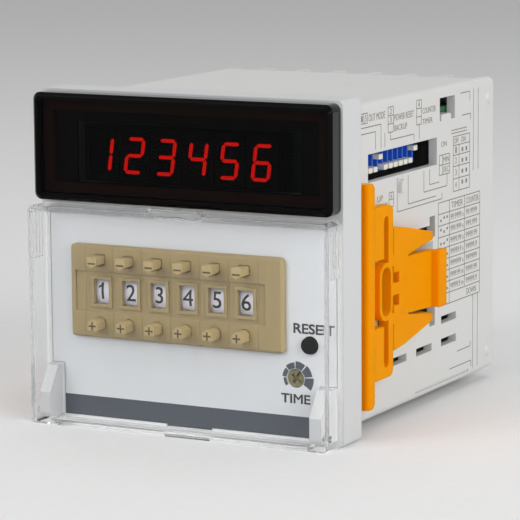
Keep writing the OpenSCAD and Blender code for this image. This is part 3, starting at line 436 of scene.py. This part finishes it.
def pick(*pieces):
    """Selects these objects alone, the first one active"""
    leave_edit()
    for piece in pieces:
        piece.select_set(True)
    bpy.context.view_layer.objects.active = pieces[0]


def edit(piece, select="SELECT"):
    """Opens a mesh for editing with all or none of it selected"""
    pick(piece)
    bpy.ops.object.mode_set(mode="EDIT")
    bpy.ops.mesh.select_all(action=select)


def edit_where(piece, test):
    """Opens a mesh for editing with the points selected that pass the test"""
    edit(piece, "DESELECT")
    bpy.ops.mesh.select_mode(type="VERT")
    leave_edit()
    for vertex in piece.data.vertices:
        vertex.select = test(vertex.co)
    pick(piece)
    bpy.ops.object.mode_set(mode="EDIT")


def face_outwards(piece):
    edit(piece)
    bpy.ops.mesh.normals_make_consistent(inside=False)
    leave_edit()


def settle(piece, place):
    """Puts a finished piece in its place and leaves the place in its mesh"""
    pick(piece)
    piece.matrix_world = place
    bpy.ops.object.transform_apply(location=True, rotation=True, scale=True)
    return piece


def joined(pieces, name):
    pick(*pieces)
    if len(pieces) > 1:
        bpy.ops.object.join()
    whole = bpy.context.object
    whole.name = whole.data.name = name
    return whole


def duplicate(piece, shift=(0, 0, 0)):
    """A copy with its own mesh, moved by shift"""
    pick(piece)
    bpy.ops.object.duplicate(linked=False)
    return settle(bpy.context.object, Matrix.Translation(shift))


def paint(piece, material):
    if not piece.material_slots:
        piece.data.materials.append(material)
    for slot in piece.material_slots:
        slot.material = material


def finish_nodes(material, names):
    for name in names:
        paint(NODES[name], material)


def front_plane(y):
    """Drawing plane that faces the front: u to the right, v up, w towards the viewer"""
    return Matrix(((1, 0, 0, 0), (0, 0, -1, y), (0, 1, 0, 0), (0, 0, 0, 1)))


def side_plane(x):
    """Drawing plane on the right wall: u to the rear, v up, w outwards"""
    return Matrix(((0, 0, 1, x), (1, 0, 0, 0), (0, 1, 0, 0), (0, 0, 0, 1)))


def empty_mesh(name):
    leave_edit()
    bpy.ops.mesh.primitive_plane_add(size=MM)
    piece = bpy.context.object
    piece.name = piece.data.name = name
    edit(piece)
    bpy.ops.mesh.delete(type="VERT")
    return piece


def add_plate(centre, size):
    """Adds one flat rectangle to the mesh in edit mode"""
    place = (*centre, 0)
    bpy.ops.mesh.primitive_plane_add(size=1, location=place)
    bpy.ops.transform.resize(value=(*size, 1), center_override=place)


def thicken(depth):
    """Turns the flat faces in edit mode into closed plates of that depth"""
    bpy.ops.mesh.select_all(action="SELECT")
    bpy.ops.mesh.extrude_region_move(TRANSFORM_OT_translate={"value": (0, 0, depth)})
    bpy.ops.mesh.select_all(action="SELECT")
    bpy.ops.mesh.normals_make_consistent(inside=False)
    leave_edit()


def bars(name, rects, depth):
    """Flat plates from (u0, v0, u1, v1) rectangles in millimetres"""
    piece = empty_mesh(name)
    for u0, v0, u1, v1 in rects:
        add_plate(((u0 + u1) / 2 * MM, (v0 + v1) / 2 * MM), ((u1 - u0) * MM, (v1 - v0) * MM))
    thicken(depth)
    return piece


def words(text, rect, depth, keep_shape=False, bold=0.0):
    """Plain lettering that fills a (u0, v0, u1, v1) rectangle in millimetres, or just its height"""
    leave_edit()
    bpy.ops.object.text_add()
    letters = bpy.context.object.data
    letters.body = text
    letters.resolution_u = LETTER_STEPS
    letters.extrude = LETTER_EXTRUDE
    bpy.ops.object.convert(target="MESH")
    piece = bpy.context.object
    edit(piece)
    bpy.ops.mesh.remove_doubles(threshold=LETTER_WELD)
    bpy.ops.mesh.normals_make_consistent(inside=False)
    if bold:
        bpy.ops.transform.shrink_fatten(value=bold)
    leave_edit()
    low = Vector([min(v.co[i] for v in piece.data.vertices) for i in range(3)])
    high = Vector([max(v.co[i] for v in piece.data.vertices) for i in range(3)])
    size = high - low
    u0, v0, u1, v1 = rect
    tall = (v1 - v0) * MM / size.y
    wide = tall if keep_shape else (u1 - u0) * MM / size.x
    middle = Vector(((u0 + u1) / 2 * MM, (v0 + v1) / 2 * MM, depth / 2))
    return settle(piece, Matrix.Translation(middle) @ Matrix.Diagonal((wide, tall, depth / size.z, 1))
                  @ Matrix.Translation(-(low + high) / 2))


def print_on(pieces, name, plane, material, body="housing"):
    """Joins printed pieces, lays them on a plane and lets them ride"""
    marks = settings()[2]
    whole = joined(pieces, name)
    settle(whole, plane @ Matrix.Translation((0, 0, marks.lift)))
    face_outwards(whole)
    paint(whole, material)
    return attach(whole, body)


# Pieces


class COUNTER_OT_housing(bpy.types.Operator):
    """Moulded finishes for the case, the bezel with painted shade on its hinge posts and the panel with its
    slate band
    """
    bl_idname = "counter.housing"
    bl_label = "Finish the housing"

    def execute(self, context):
        colours, front, _, _ = settings()
        low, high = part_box("front_panel")

        # Painted shade: the bezel is darkened where it stands more than the post step ahead of the panel, on
        # the hinge posts
        def posts(finish, base):
            painted_shade_mask = finish.axes()[1] < low.y - front.post_step
            return finish.mix(painted_shade_mask, base, shade(colours.bezel, front.post_tone))

        def banded(finish, base):
            x, _, z = finish.axes()
            band = (z < low.z + front.band_height) * (abs(x) < high.x - front.band_inset)
            return finish.mix(band, base, colours.band)

        case = moulded("case_moulding", colours.case, rough=0.46)
        bezel = moulded("bezel_moulding", colours.bezel, rough=0.44, edge=0.25, extra=posts)
        panel = moulded("panel_moulding", colours.panel, rough=0.4, grain=0.7, extra=banded)
        finish_nodes(case, ["case"])
        finish_nodes(bezel, ["front_bezel"])
        finish_nodes(panel, ["front_panel"])
        return {"FINISHED"}


class COUNTER_OT_display(bpy.types.Operator):
    """Tinted window, bordered mask, digit blocks and lit segments"""
    bl_idname = "counter.display"
    bl_label = "Finish the display"

    def execute(self, context):
        colours, front, _, _ = settings()
        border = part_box("display_mask")[0].y + front.border_depth

        def bordered(finish, base):
            return finish.mix(finish.axes()[1] < border, base, colours.border)

        finish_nodes(tinted_window("window_tint", front), ["display_window"])
        finish_nodes(moulded("mask_black", colours.mask, rough=0.6, extra=bordered), ["display_mask"])
        finish_nodes(moulded("digit_black", colours.digit, rough=0.6, gloss=0.2), ["digit_blocks"])
        finish_nodes(lit_segment("lit_red", colours.lit, front.glow), ["lit_segments"])
        return {"FINISHED"}


class COUNTER_OT_front_print(bpy.types.Operator):
    """Words and timer dial printed on the front panel"""
    bl_idname = "counter.front_print"
    bl_label = "Print the front panel"

    # Places of the words on the panel, in millimetres
    labels = [("RESET", 24.65, -12.6, 33.35, -10.4), ("TIME", 21.7, -27.4, 28.5, -25.4)]
    sweep_steps = 6

    def wedge(self, inner, outer, angle, depth):
        """A ring segment that runs clockwise from the u axis"""
        piece = empty_mesh("dial_wedge")
        wide = outer - inner
        add_plate((inner + wide / 2, wide / 2), (wide, wide))
        edit_where(piece, lambda co: co.y > wide / 2)
        bpy.ops.mesh.delete(type="VERT")
        bpy.ops.mesh.select_all(action="SELECT")
        bpy.ops.mesh.spin(steps=self.sweep_steps, angle=angle, center=(0, 0, 0), axis=(0, 0, 1))
        bpy.ops.mesh.select_all(action="SELECT")
        bpy.ops.mesh.remove_doubles(threshold=WELD)
        thicken(depth)
        return piece

    def execute(self, context):
        colours, _, marks, _ = settings()
        plane = front_plane(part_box("front_panel")[0].y)
        pieces = [words(text, rect, marks.depth, bold=marks.bold) for text, *rect in self.labels]
        print_on(pieces, "front_words", plane, ink("front_ink", colours.ink))
        low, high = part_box("trimmer_rotor")
        hub = (low + high) / 2
        step = marks.dial_sweep / marks.dial_wedges
        wedges = []
        for i in range(marks.dial_wedges):
            share = i / (marks.dial_wedges - 1)
            outer = marks.dial_small + (marks.dial_large - marks.dial_small) * share
            wedge = self.wedge(marks.dial_inner, outer, step * marks.dial_fill, marks.depth)
            turn = Matrix.Rotation(marks.dial_start - i * step, 4, "Z")
            wedges.append(settle(wedge, Matrix.Translation((hub.x, hub.z, 0)) @ turn))
        print_on(wedges, "dial_print", plane, ink("dial_ink", colours.band))
        return {"FINISHED"}


class COUNTER_OT_switch(bpy.types.Operator):
    """Push-wheel switch: finishes, signs on the step buttons and figures around the wheels"""
    bl_idname = "counter.switch"
    bl_label = "Finish the push-wheel switch"

    # Distance of each sign below its button's middle
    sign_drop = {"minus": 0.3 * MM, "plus": 0.1 * MM}
    figure_strips = 8
    figure_bold = 0.25
    # Length and stroke of the flag on the figure 1, in millimetres, and its slope
    flag_size = (1.1, 0.4)
    flag_turn = math.radians(38)

    def signs(self, marks, material):
        half, stroke = marks.sign / MM / 2, marks.sign_stroke / MM / 2
        level = (-half, -stroke, half, stroke)
        upright = [(-stroke, stroke, stroke, half), (-stroke, -half, stroke, -stroke)]
        for kind, rects in (("minus", [level]), ("plus", [level, *upright])):
            pattern = bars("sign", rects, marks.depth)
            for i in MODULES:
                low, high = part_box(f"{kind}_button_{i}")
                middle = (low + high) / 2
                sign = duplicate(pattern, (middle.x, middle.z - self.sign_drop[kind], 0))
                print_on([sign], f"{kind}_sign_{i}", front_plane(low.y), material, f"{kind}_{i}")
            bpy.data.objects.remove(pattern)

    def flat_figure(self, digit, marks):
        """One figure around the origin, cut into level strips so that it can be rolled"""
        tall = marks.figure_height / MM
        rect = (-1, -tall / 2, 1, tall / 2)
        figure = words(str(digit), rect, marks.depth, keep_shape=True, bold=marks.bold * self.figure_bold)
        if digit == 1:
            long, stroke = self.flag_size
            flag = bars("flag", [(-long, -stroke / 2, 0, stroke / 2)], marks.depth)
            tip = Matrix.Translation((0, (tall / 2 - stroke) * MM, 0))
            settle(flag, tip @ Matrix.Rotation(self.flag_turn, 4, "Z"))
            figure = joined([figure, flag], "figure")
        for cut in range(1, self.figure_strips):
            level = (cut / self.figure_strips - 0.5) * marks.figure_height
            edit(figure)
            bpy.ops.mesh.bisect(plane_co=(0, level, 0), plane_no=(0, 1, 0))
        leave_edit()
        return figure

    def figures(self, marks, material):
        """All figures, rolled onto each wheel with the wheel's own number in front"""
        patterns = [self.flat_figure(digit, marks) for digit in FIGURES]
        for i in MODULES:
            low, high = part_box(f"number_wheel_{i}")
            hub = (low + high) / 2
            radius = (high.z - low.z) / 2 + marks.lift
            copies = []
            for digit, pattern in enumerate(patterns):
                figure = duplicate(pattern)
                turn = (digit - i) * math.tau / len(FIGURES)
                for vertex in figure.data.vertices:
                    angle = turn + vertex.co.y / radius
                    reach = radius + vertex.co.z
                    across, back, up = vertex.co.x, -reach * math.cos(angle), reach * math.sin(angle)
                    vertex.co = hub + Vector((across, back, up))
                copies.append(figure)
            ring = joined(copies, f"wheel_figures_{i}")
            face_outwards(ring)
            paint(ring, material)
            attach(ring, f"wheel_{i}")
        for pattern in patterns:
            bpy.data.objects.remove(pattern)

    def execute(self, context):
        colours, _, marks, _ = settings()
        housings = ["switch_end_left", "switch_end_right", *(f"switch_module_{i}" for i in MODULES)]
        buttons = [f"{kind}_button_{i}" for kind in ("minus", "plus") for i in MODULES]
        wheels = [f"number_wheel_{i}" for i in MODULES]
        finish_nodes(moulded("switch_moulding", colours.switch, rough=0.4, grain=0.8, edge=0.16), housings)
        finish_nodes(moulded("button_moulding", colours.button, rough=0.38, grain=0.6, edge=0.16), buttons)
        finish_nodes(moulded("wheel_moulding", colours.wheel, rough=0.45, grain=0.5), wheels)
        self.signs(marks, ink("sign_ink", colours.sign))
        self.figures(marks, ink("figure_ink", colours.figure))
        return {"FINISHED"}


class COUNTER_OT_controls(bpy.types.Operator):
    """Reset button, timer trimmer and the boards and parts behind the panel"""
    bl_idname = "counter.controls"
    bl_label = "Finish the controls and boards"

    def execute(self, context):
        colours = settings()[0]

        def woven(finish, base):
            return finish.mix(finish.noise(BOARD_WEAVE, detail=1), base, shade(colours.board, 1.25))

        reset = moulded("reset_black", colours.reset, rough=0.6, edge=0.2, gloss=0.03)
        rotor = moulded("trimmer_grey", colours.trimmer, rough=0.45, edge=0.1, gloss=0.25)
        board = moulded("board_green", colours.board, rough=0.3, grain=0.5, extra=woven)
        finish_nodes(reset, ["reset_button", "reset_switch"])
        finish_nodes(moulded("trimmer_blue", colours.trimmer_body, rough=0.45), ["trimmer_body"])
        finish_nodes(rotor, ["trimmer_rotor"])
        finish_nodes(board, ["display_board", "control_board", "upper_board", "power_board"])
        finish_nodes(plated("core_steel", colours.core, rough=0.5), ["power_transformer"])
        finish_nodes(moulded("relay_black", colours.relay, rough=0.45), ["output_relay"])
        return {"FINISHED"}


class COUNTER_OT_setting_switch(bpy.types.Operator):
    """Blue setting switch with its ivory levers"""
    bl_idname = "counter.setting_switch"
    bl_label = "Finish the setting switch"

    def execute(self, context):
        colours = settings()[0]
        levers = [f"dip_lever_{i}" for i in LEVERS]
        finish_nodes(moulded("setting_blue", colours.lever_block, rough=0.35, grain=0.6), ["dip_body"])
        finish_nodes(moulded("lever_ivory", colours.lever, rough=0.4, grain=0.5, edge=0.2), levers)
        return {"FINISHED"}


class COUNTER_OT_cover(bpy.types.Operator):
    """Clear hinged cover"""
    bl_idname = "counter.cover"
    bl_label = "Finish the cover"

    def execute(self, context):
        finish_nodes(clear_plastic("cover_clear"), ["front_cover"])
        NODES["front_cover"].visible_shadow = False
        return {"FINISHED"}


class COUNTER_OT_brackets(bpy.types.Operator):
    """Orange panel brackets that let some light through"""
    bl_idname = "counter.brackets"
    bl_label = "Finish the brackets"

    def execute(self, context):
        colours = settings()[0]
        through = {"Subsurface Weight": 0.7, "Subsurface Radius": (1, 0.16, 0.01), "Subsurface Scale": 3 * MM}
        orange = moulded("bracket_orange", colours.bracket, rough=0.45, grain=0.7, edge=0.3, gloss=0.02,
                         more=through)
        finish_nodes(orange, ["bracket_left", "bracket_right"])
        return {"FINISHED"}


class COUNTER_OT_terminals(bpy.types.Operator):
    """Terminal block, plates and screws"""
    bl_idname = "counter.terminals"
    bl_label = "Finish the terminals"

    def execute(self, context):
        colours = settings()[0]
        plating = plated("terminal_plating", colours.plating, rough=0.3)
        finish_nodes(moulded("terminal_moulding", colours.case, rough=0.48), ["terminal_block"])
        finish_nodes(plating, ["terminal_plates", "terminal_screws"])
        return {"FINISHED"}


# Wiring print on the right wall, in millimetres behind the panel and above the middle

# The wall's face is taken from its plain front part, which is this deep
PLAIN_WALL = 5.0

# Large table: a row for each range, with its marks for the levers down or up
TABLE_LEFT, TABLE_RIGHT, TABLE_TOP, TABLE_FOOT = 44.9, 68.0, 8.3, -15.0
TABLE_ROW, TABLE_ROWS = 2.6, 8
RANGES = ["99.9999 s", "999.999 s", "9999.99 s", "99999.9 s", "999999 s", "9999.99 m", "99999.9 m"]
RANGE_TALL = 1.3
TIMER_COLUMN, COUNTER_COLUMN = (51.6, 58.8), (60.2, 66.4)
LEVER_MARKS, LEVER_START, LEVER_PITCH = 3, 46.0, 1.7
LEVER_MARK = (0.8, 0.55)
LEVER_DOWN, LEVER_UP = -0.5, 0.05

# Square dots of the small table
DOT_ROWS, DOT_COLUMNS, DOT_SIZE = 4, 2, 0.9
DOT_START, DOT_PITCH = (57.6, 18.5), (2.2, 2.45)

# Boxes, leader lines and words
FRAMES = [
    (5.1, 29.7, 8.7, 31.8), (18.8, 26.6, 21.5, 32.0), (33.3, 26.8, 35.8, 32.1), (19.3, 10.6, 21.5, 13.7),
    (45.4, 14.4, 51.0, 18.8), (53.0, 9.9, 62.1, 22.2), (TABLE_LEFT, TABLE_FOOT, TABLE_RIGHT, TABLE_TOP),
]
PATHS = [
    [(6.9, 29.7), (6.9, 31.8)],
    [(18.8, 28.4), (21.5, 28.4)],
    [(18.8, 30.2), (21.5, 30.2)],
    [(33.3, 28.5), (35.8, 28.5)],
    [(33.3, 30.3), (35.8, 30.3)],
    [(19.3, 12.2), (21.5, 12.2)],
    [(5.4, 28.8), (15.3, 28.8), (15.3, 23.6)],
    [(5.4, 27.5), (12.6, 27.5), (12.6, 23.6)],
    [(17.2, 26.9), (17.2, 23.6)],
    [(20.0, 26.6), (20.0, 25.0), (32.0, 25.0), (32.0, 23.6)],
    [(34.7, 26.8), (34.7, 23.6)],
    [(23.4, 16.5), (23.4, 9.1), (46.9, 9.1), (46.9, 10.6)],
    [(29.0, 16.5), (29.0, 10.1), (43.6, 10.1)],
    [(37.2, 16.5), (37.2, 11.7), (49.6, 11.7), (49.6, 14.4)],
    [(40.2, 16.5), (40.2, 13.0), (45.4, 13.0)],
    [(51.9, 23.0), (60.5, 23.0)],
    [(51.9, 23.7), (60.5, 23.7)],
    [(45.4, 16.6), (51.0, 16.6)],
    [(47.2, 14.4), (47.2, 18.8)],
    [(53.0, 20.2), (62.1, 20.2)],
    [(53.0, 18.0), (62.1, 18.0)],
    [(53.0, 15.5), (62.1, 15.5)],
    [(53.0, 12.7), (62.1, 12.7)],
    [(56.2, 9.9), (56.2, 20.2)],
    [(51.0, TABLE_FOOT), (51.0, TABLE_TOP)],
    [(59.4, -12.4), (59.4, TABLE_TOP)],
    [(57.0, 31.6), (62.1, 31.6), (62.1, 29.4)],
    [(57.7, 26.6), (62.6, 26.6), (62.6, 25.1)],
    [(55.4, -26.7), (62.8, -26.7), (62.8, -25.4)],
    [(51.3, -30.1), (63.2, -30.1), (63.2, -31.6)],
]
LETTERING = [
    ("1", 5.6, 30.1, 6.4, 31.4), ("5", 7.4, 30.1, 8.2, 31.4), ("OUT MODE", 9.3, 29.9, 17.3, 31.4),
    ("2", 19.7, 30.5, 20.6, 31.7), ("3", 19.7, 28.7, 20.6, 29.9), ("POWER RESET", 22.0, 28.8, 31.8, 30.2),
    ("BACKUP", 22.0, 26.6, 28.4, 27.9), ("4", 34.1, 30.6, 35.0, 31.8), ("COUNTER", 36.4, 28.9, 43.4, 30.2),
    ("TIMER", 36.4, 26.6, 41.7, 27.8), ("ON", 46.4, 20.6, 49.4, 21.8), ("MIN", 47.6, 17.1, 50.6, 18.3),
    ("SEC", 47.6, 14.9, 50.6, 16.1), ("6", 20.0, 12.5, 20.8, 13.5), ("DOWN", 13.4, 10.5, 18.7, 11.9),
    ("UP", 13.4, 12.4, 16.2, 13.6), ("OFF", 53.4, 20.6, 56.0, 21.8), ("ON", 57.4, 20.6, 59.8, 21.8),
    ("1", 54.1, 18.4, 54.9, 19.8), ("2", 54.1, 16.1, 54.9, 17.5), ("3", 54.1, 13.4, 54.9, 14.8),
    ("4", 54.1, 10.6, 54.9, 12.0), ("TIMER", 52.0, 6.3, 58.4, 7.7), ("COUNTER", 60.2, 6.3, 67.3, 7.7),
    ("DOWN", 60.6, -14.5, 66.0, -13.1),
]


class COUNTER_OT_side_print(bpy.types.Operator):
    """Wiring print on the case's right wall: boxes, leader lines, tables and plain words"""
    bl_idname = "counter.side_print"
    bl_label = "Print the case wall"

    def lines(self, half):
        """Rectangles along every path, table row and box; a level line covers the corners"""
        rows = [TABLE_TOP - TABLE_ROW * i for i in range(1, TABLE_ROWS + 1)]
        rules = [[(TABLE_LEFT, v), (TABLE_RIGHT, v)] for v in rows]
        loops = [[(a, b), (c, b), (c, d), (a, d), (a, b)] for a, b, c, d in FRAMES]
        rects = []
        for path in PATHS + rules + loops:
            for (u0, v0), (u1, v1) in zip(path, path[1:]):
                grow_u, grow_v = (0, half) if u0 != u1 else (half, -half)
                low = (min(u0, u1) - grow_u, min(v0, v1) - grow_v)
                high = (max(u0, u1) + grow_u, max(v0, v1) + grow_v)
                rects.append((*low, *high))
        return rects

    def dots(self):
        """Square dots of the small table and lever marks of the large one"""
        rects = []
        for row in range(DOT_ROWS):
            for column in range(DOT_COLUMNS):
                u, v = DOT_START[0] + column * DOT_PITCH[0], DOT_START[1] - row * DOT_PITCH[1]
                rects.append((u, v, u + DOT_SIZE, v + DOT_SIZE))
        wide, tall = LEVER_MARK
        for row in range(1, TABLE_ROWS):
            for column in range(LEVER_MARKS):
                u, v = LEVER_START + column * LEVER_PITCH, TABLE_TOP - TABLE_ROW * (row + 0.5)
                v += LEVER_DOWN if (row >> column) & 1 else LEVER_UP
                rects.append((u, v, u + wide, v + tall))
        return rects

    def execute(self, context):
        colours, _, marks, _ = settings()
        pieces = [bars("side_print", self.lines(marks.rule / MM / 2) + self.dots(), marks.depth)]
        for text, *rect in LETTERING:
            pieces.append(words(text, rect, marks.depth))
        for row, text in enumerate(RANGES, 1):
            foot = TABLE_TOP - TABLE_ROW * (row + 0.5) - RANGE_TALL / 2
            number = text.split()[0]
            for label, (left, right) in ((text, TIMER_COLUMN), (number, COUNTER_COLUMN)):
                pieces.append(words(label, (left, foot, right, foot + RANGE_TALL), marks.depth))
        wall = max(v.co.x for v in NODES["case"].data.vertices if v.co.y < PLAIN_WALL * MM)
        print_on(pieces, "side_print", side_plane(wall), ink("side_ink", colours.side_ink))
        return {"FINISHED"}


class COUNTER_OT_stage(bpy.types.Operator):
    """Pale floor and backdrop, soft lamps and the camera at the photograph's angle"""
    bl_idname = "counter.stage"
    bl_label = "Set up the studio"

    # Name, place, aim and size of each lamp, in metres
    lamps = [
        ("key", (-0.35, -0.75, 0.55), (0, 0, 0), 0.6),
        ("fill", (0.85, -0.25, 0.35), (0, 0.03, 0), 0.6),
        ("top", (0, 0.15, 0.9), (0, 0.03, 0), 0.7),
    ]
    floor_size = 6.0
    backdrop_rise = (0, 0.4, 2.5)
    film_width = 36.0
    seen_range = (0.01, 100.0)

    def lamp(self, name, place, aim, size, power):
        leave_edit()
        bpy.ops.object.light_add(type="AREA", location=place)
        lamp = bpy.context.object
        lamp.name = name
        lamp.data.size = size
        lamp.data.energy = power
        lamp.rotation_euler = (Vector(aim) - Vector(place)).to_track_quat("-Z", "Y").to_euler()

    def floor(self):
        """A plane under the part that runs back and turns up into a backdrop"""
        leave_edit()
        bpy.ops.mesh.primitive_plane_add(size=1, location=(0, 0, CAD_BOX[0].z))
        floor = bpy.context.object
        floor.name = floor.data.name = "floor"
        edit(floor)
        bpy.ops.transform.resize(value=(self.floor_size, self.floor_size, 1))
        settle(floor, floor.matrix_world.copy())
        edit_where(floor, lambda co: co.y > 0)
        bpy.ops.mesh.extrude_region_move(TRANSFORM_OT_translate={"value": self.backdrop_rise})
        leave_edit()
        paint(floor, paper("floor_paper"))

    def surroundings(self, studio):
        """Even light that has the backdrop's brightness in the picture, in mirrors and through glass"""
        world = bpy.data.worlds.new("studio")
        bpy.context.scene.world = world
        world.use_nodes = True
        sky = Nodes(world.node_tree)
        rays = sky.node("ShaderNodeLightPath").socket.node.outputs
        direct, mirrored, through = [Value(sky, rays[f"Is {kind} Ray"])
                                     for kind in ("Camera", "Glossy", "Transmission")]
        seen = direct.math("MAXIMUM", mirrored).math("MAXIMUM", through)
        strength = between(seen, studio.ambient, studio.backdrop)
        sky.feed(world.node_tree.nodes["Background"], {"Color": (1, 1, 1), "Strength": strength})

    def camera(self, studio):
        a, e, r = studio.azimuth, studio.elevation, studio.roll
        back = Vector((math.sin(a) * math.cos(e), -math.cos(a) * math.cos(e), math.sin(e)))
        right = Vector((math.cos(a), math.sin(a), 0))
        up = back.cross(right)
        turned_right = right * math.cos(r) + up * math.sin(r)
        turned_up = up * math.cos(r) - right * math.sin(r)
        leave_edit()
        bpy.ops.object.camera_add(location=Vector(studio.aim) + back * studio.distance)
        camera = bpy.context.object
        camera.rotation_euler = Matrix((turned_right, turned_up, back)).transposed().to_euler()
        camera.data.lens = studio.lens
        camera.data.sensor_width = self.film_width
        camera.data.clip_start, camera.data.clip_end = self.seen_range
        bpy.context.scene.camera = camera

    def execute(self, context):
        studio = settings()[3]
        context.scene.view_settings.view_transform = "Standard"
        self.floor()
        for name, place, aim, size in self.lamps:
            self.lamp(name, place, aim, size, getattr(studio, name))
        self.surroundings(studio)
        self.camera(studio)
        return {"FINISHED"}


STEPS = [
    COUNTER_OT_housing, COUNTER_OT_display, COUNTER_OT_front_print, COUNTER_OT_switch, COUNTER_OT_controls,
    COUNTER_OT_setting_switch, COUNTER_OT_cover, COUNTER_OT_brackets, COUNTER_OT_terminals,
    COUNTER_OT_side_print, COUNTER_OT_stage,
]


class COUNTER_PT_panel(bpy.types.Panel):
    """Lists the counter's steps and settings"""
    bl_idname = "COUNTER_PT_panel"
    bl_label = "Panel counter"
    bl_space_type = "VIEW_3D"
    bl_region_type = "UI"
    bl_category = "Counter"

    def draw(self, context):
        column = self.layout.column()
        for step in STEPS:
            column.operator(step.bl_idname)
        for group in settings():
            for name in group.__annotations__:
                column.prop(group, name)


GROUPS = {
    "counter_colours": CounterColours,
    "counter_front": CounterFront,
    "counter_print": CounterPrint,
    "counter_studio": CounterStudio,
}


def register():
    for name, group in GROUPS.items():
        bpy.utils.register_class(group)
        setattr(bpy.types.Scene, name, PointerProperty(type=group))
    for item in (*STEPS, COUNTER_PT_panel):
        bpy.utils.register_class(item)


def unregister():
    for item in reversed((*STEPS, COUNTER_PT_panel)):
        bpy.utils.unregister_class(item)
    for name, group in GROUPS.items():
        delattr(bpy.types.Scene, name)
        bpy.utils.unregister_class(group)


def main():
    register()
    bpy.ops.counter.housing()
    bpy.ops.counter.display()
    bpy.ops.counter.front_print()
    bpy.ops.counter.switch()
    bpy.ops.counter.controls()
    bpy.ops.counter.setting_switch()
    bpy.ops.counter.cover()
    bpy.ops.counter.brackets()
    bpy.ops.counter.terminals()
    bpy.ops.counter.side_print()
    bpy.ops.counter.stage()
    leave_edit()


if __name__ == "__main__":
    main()
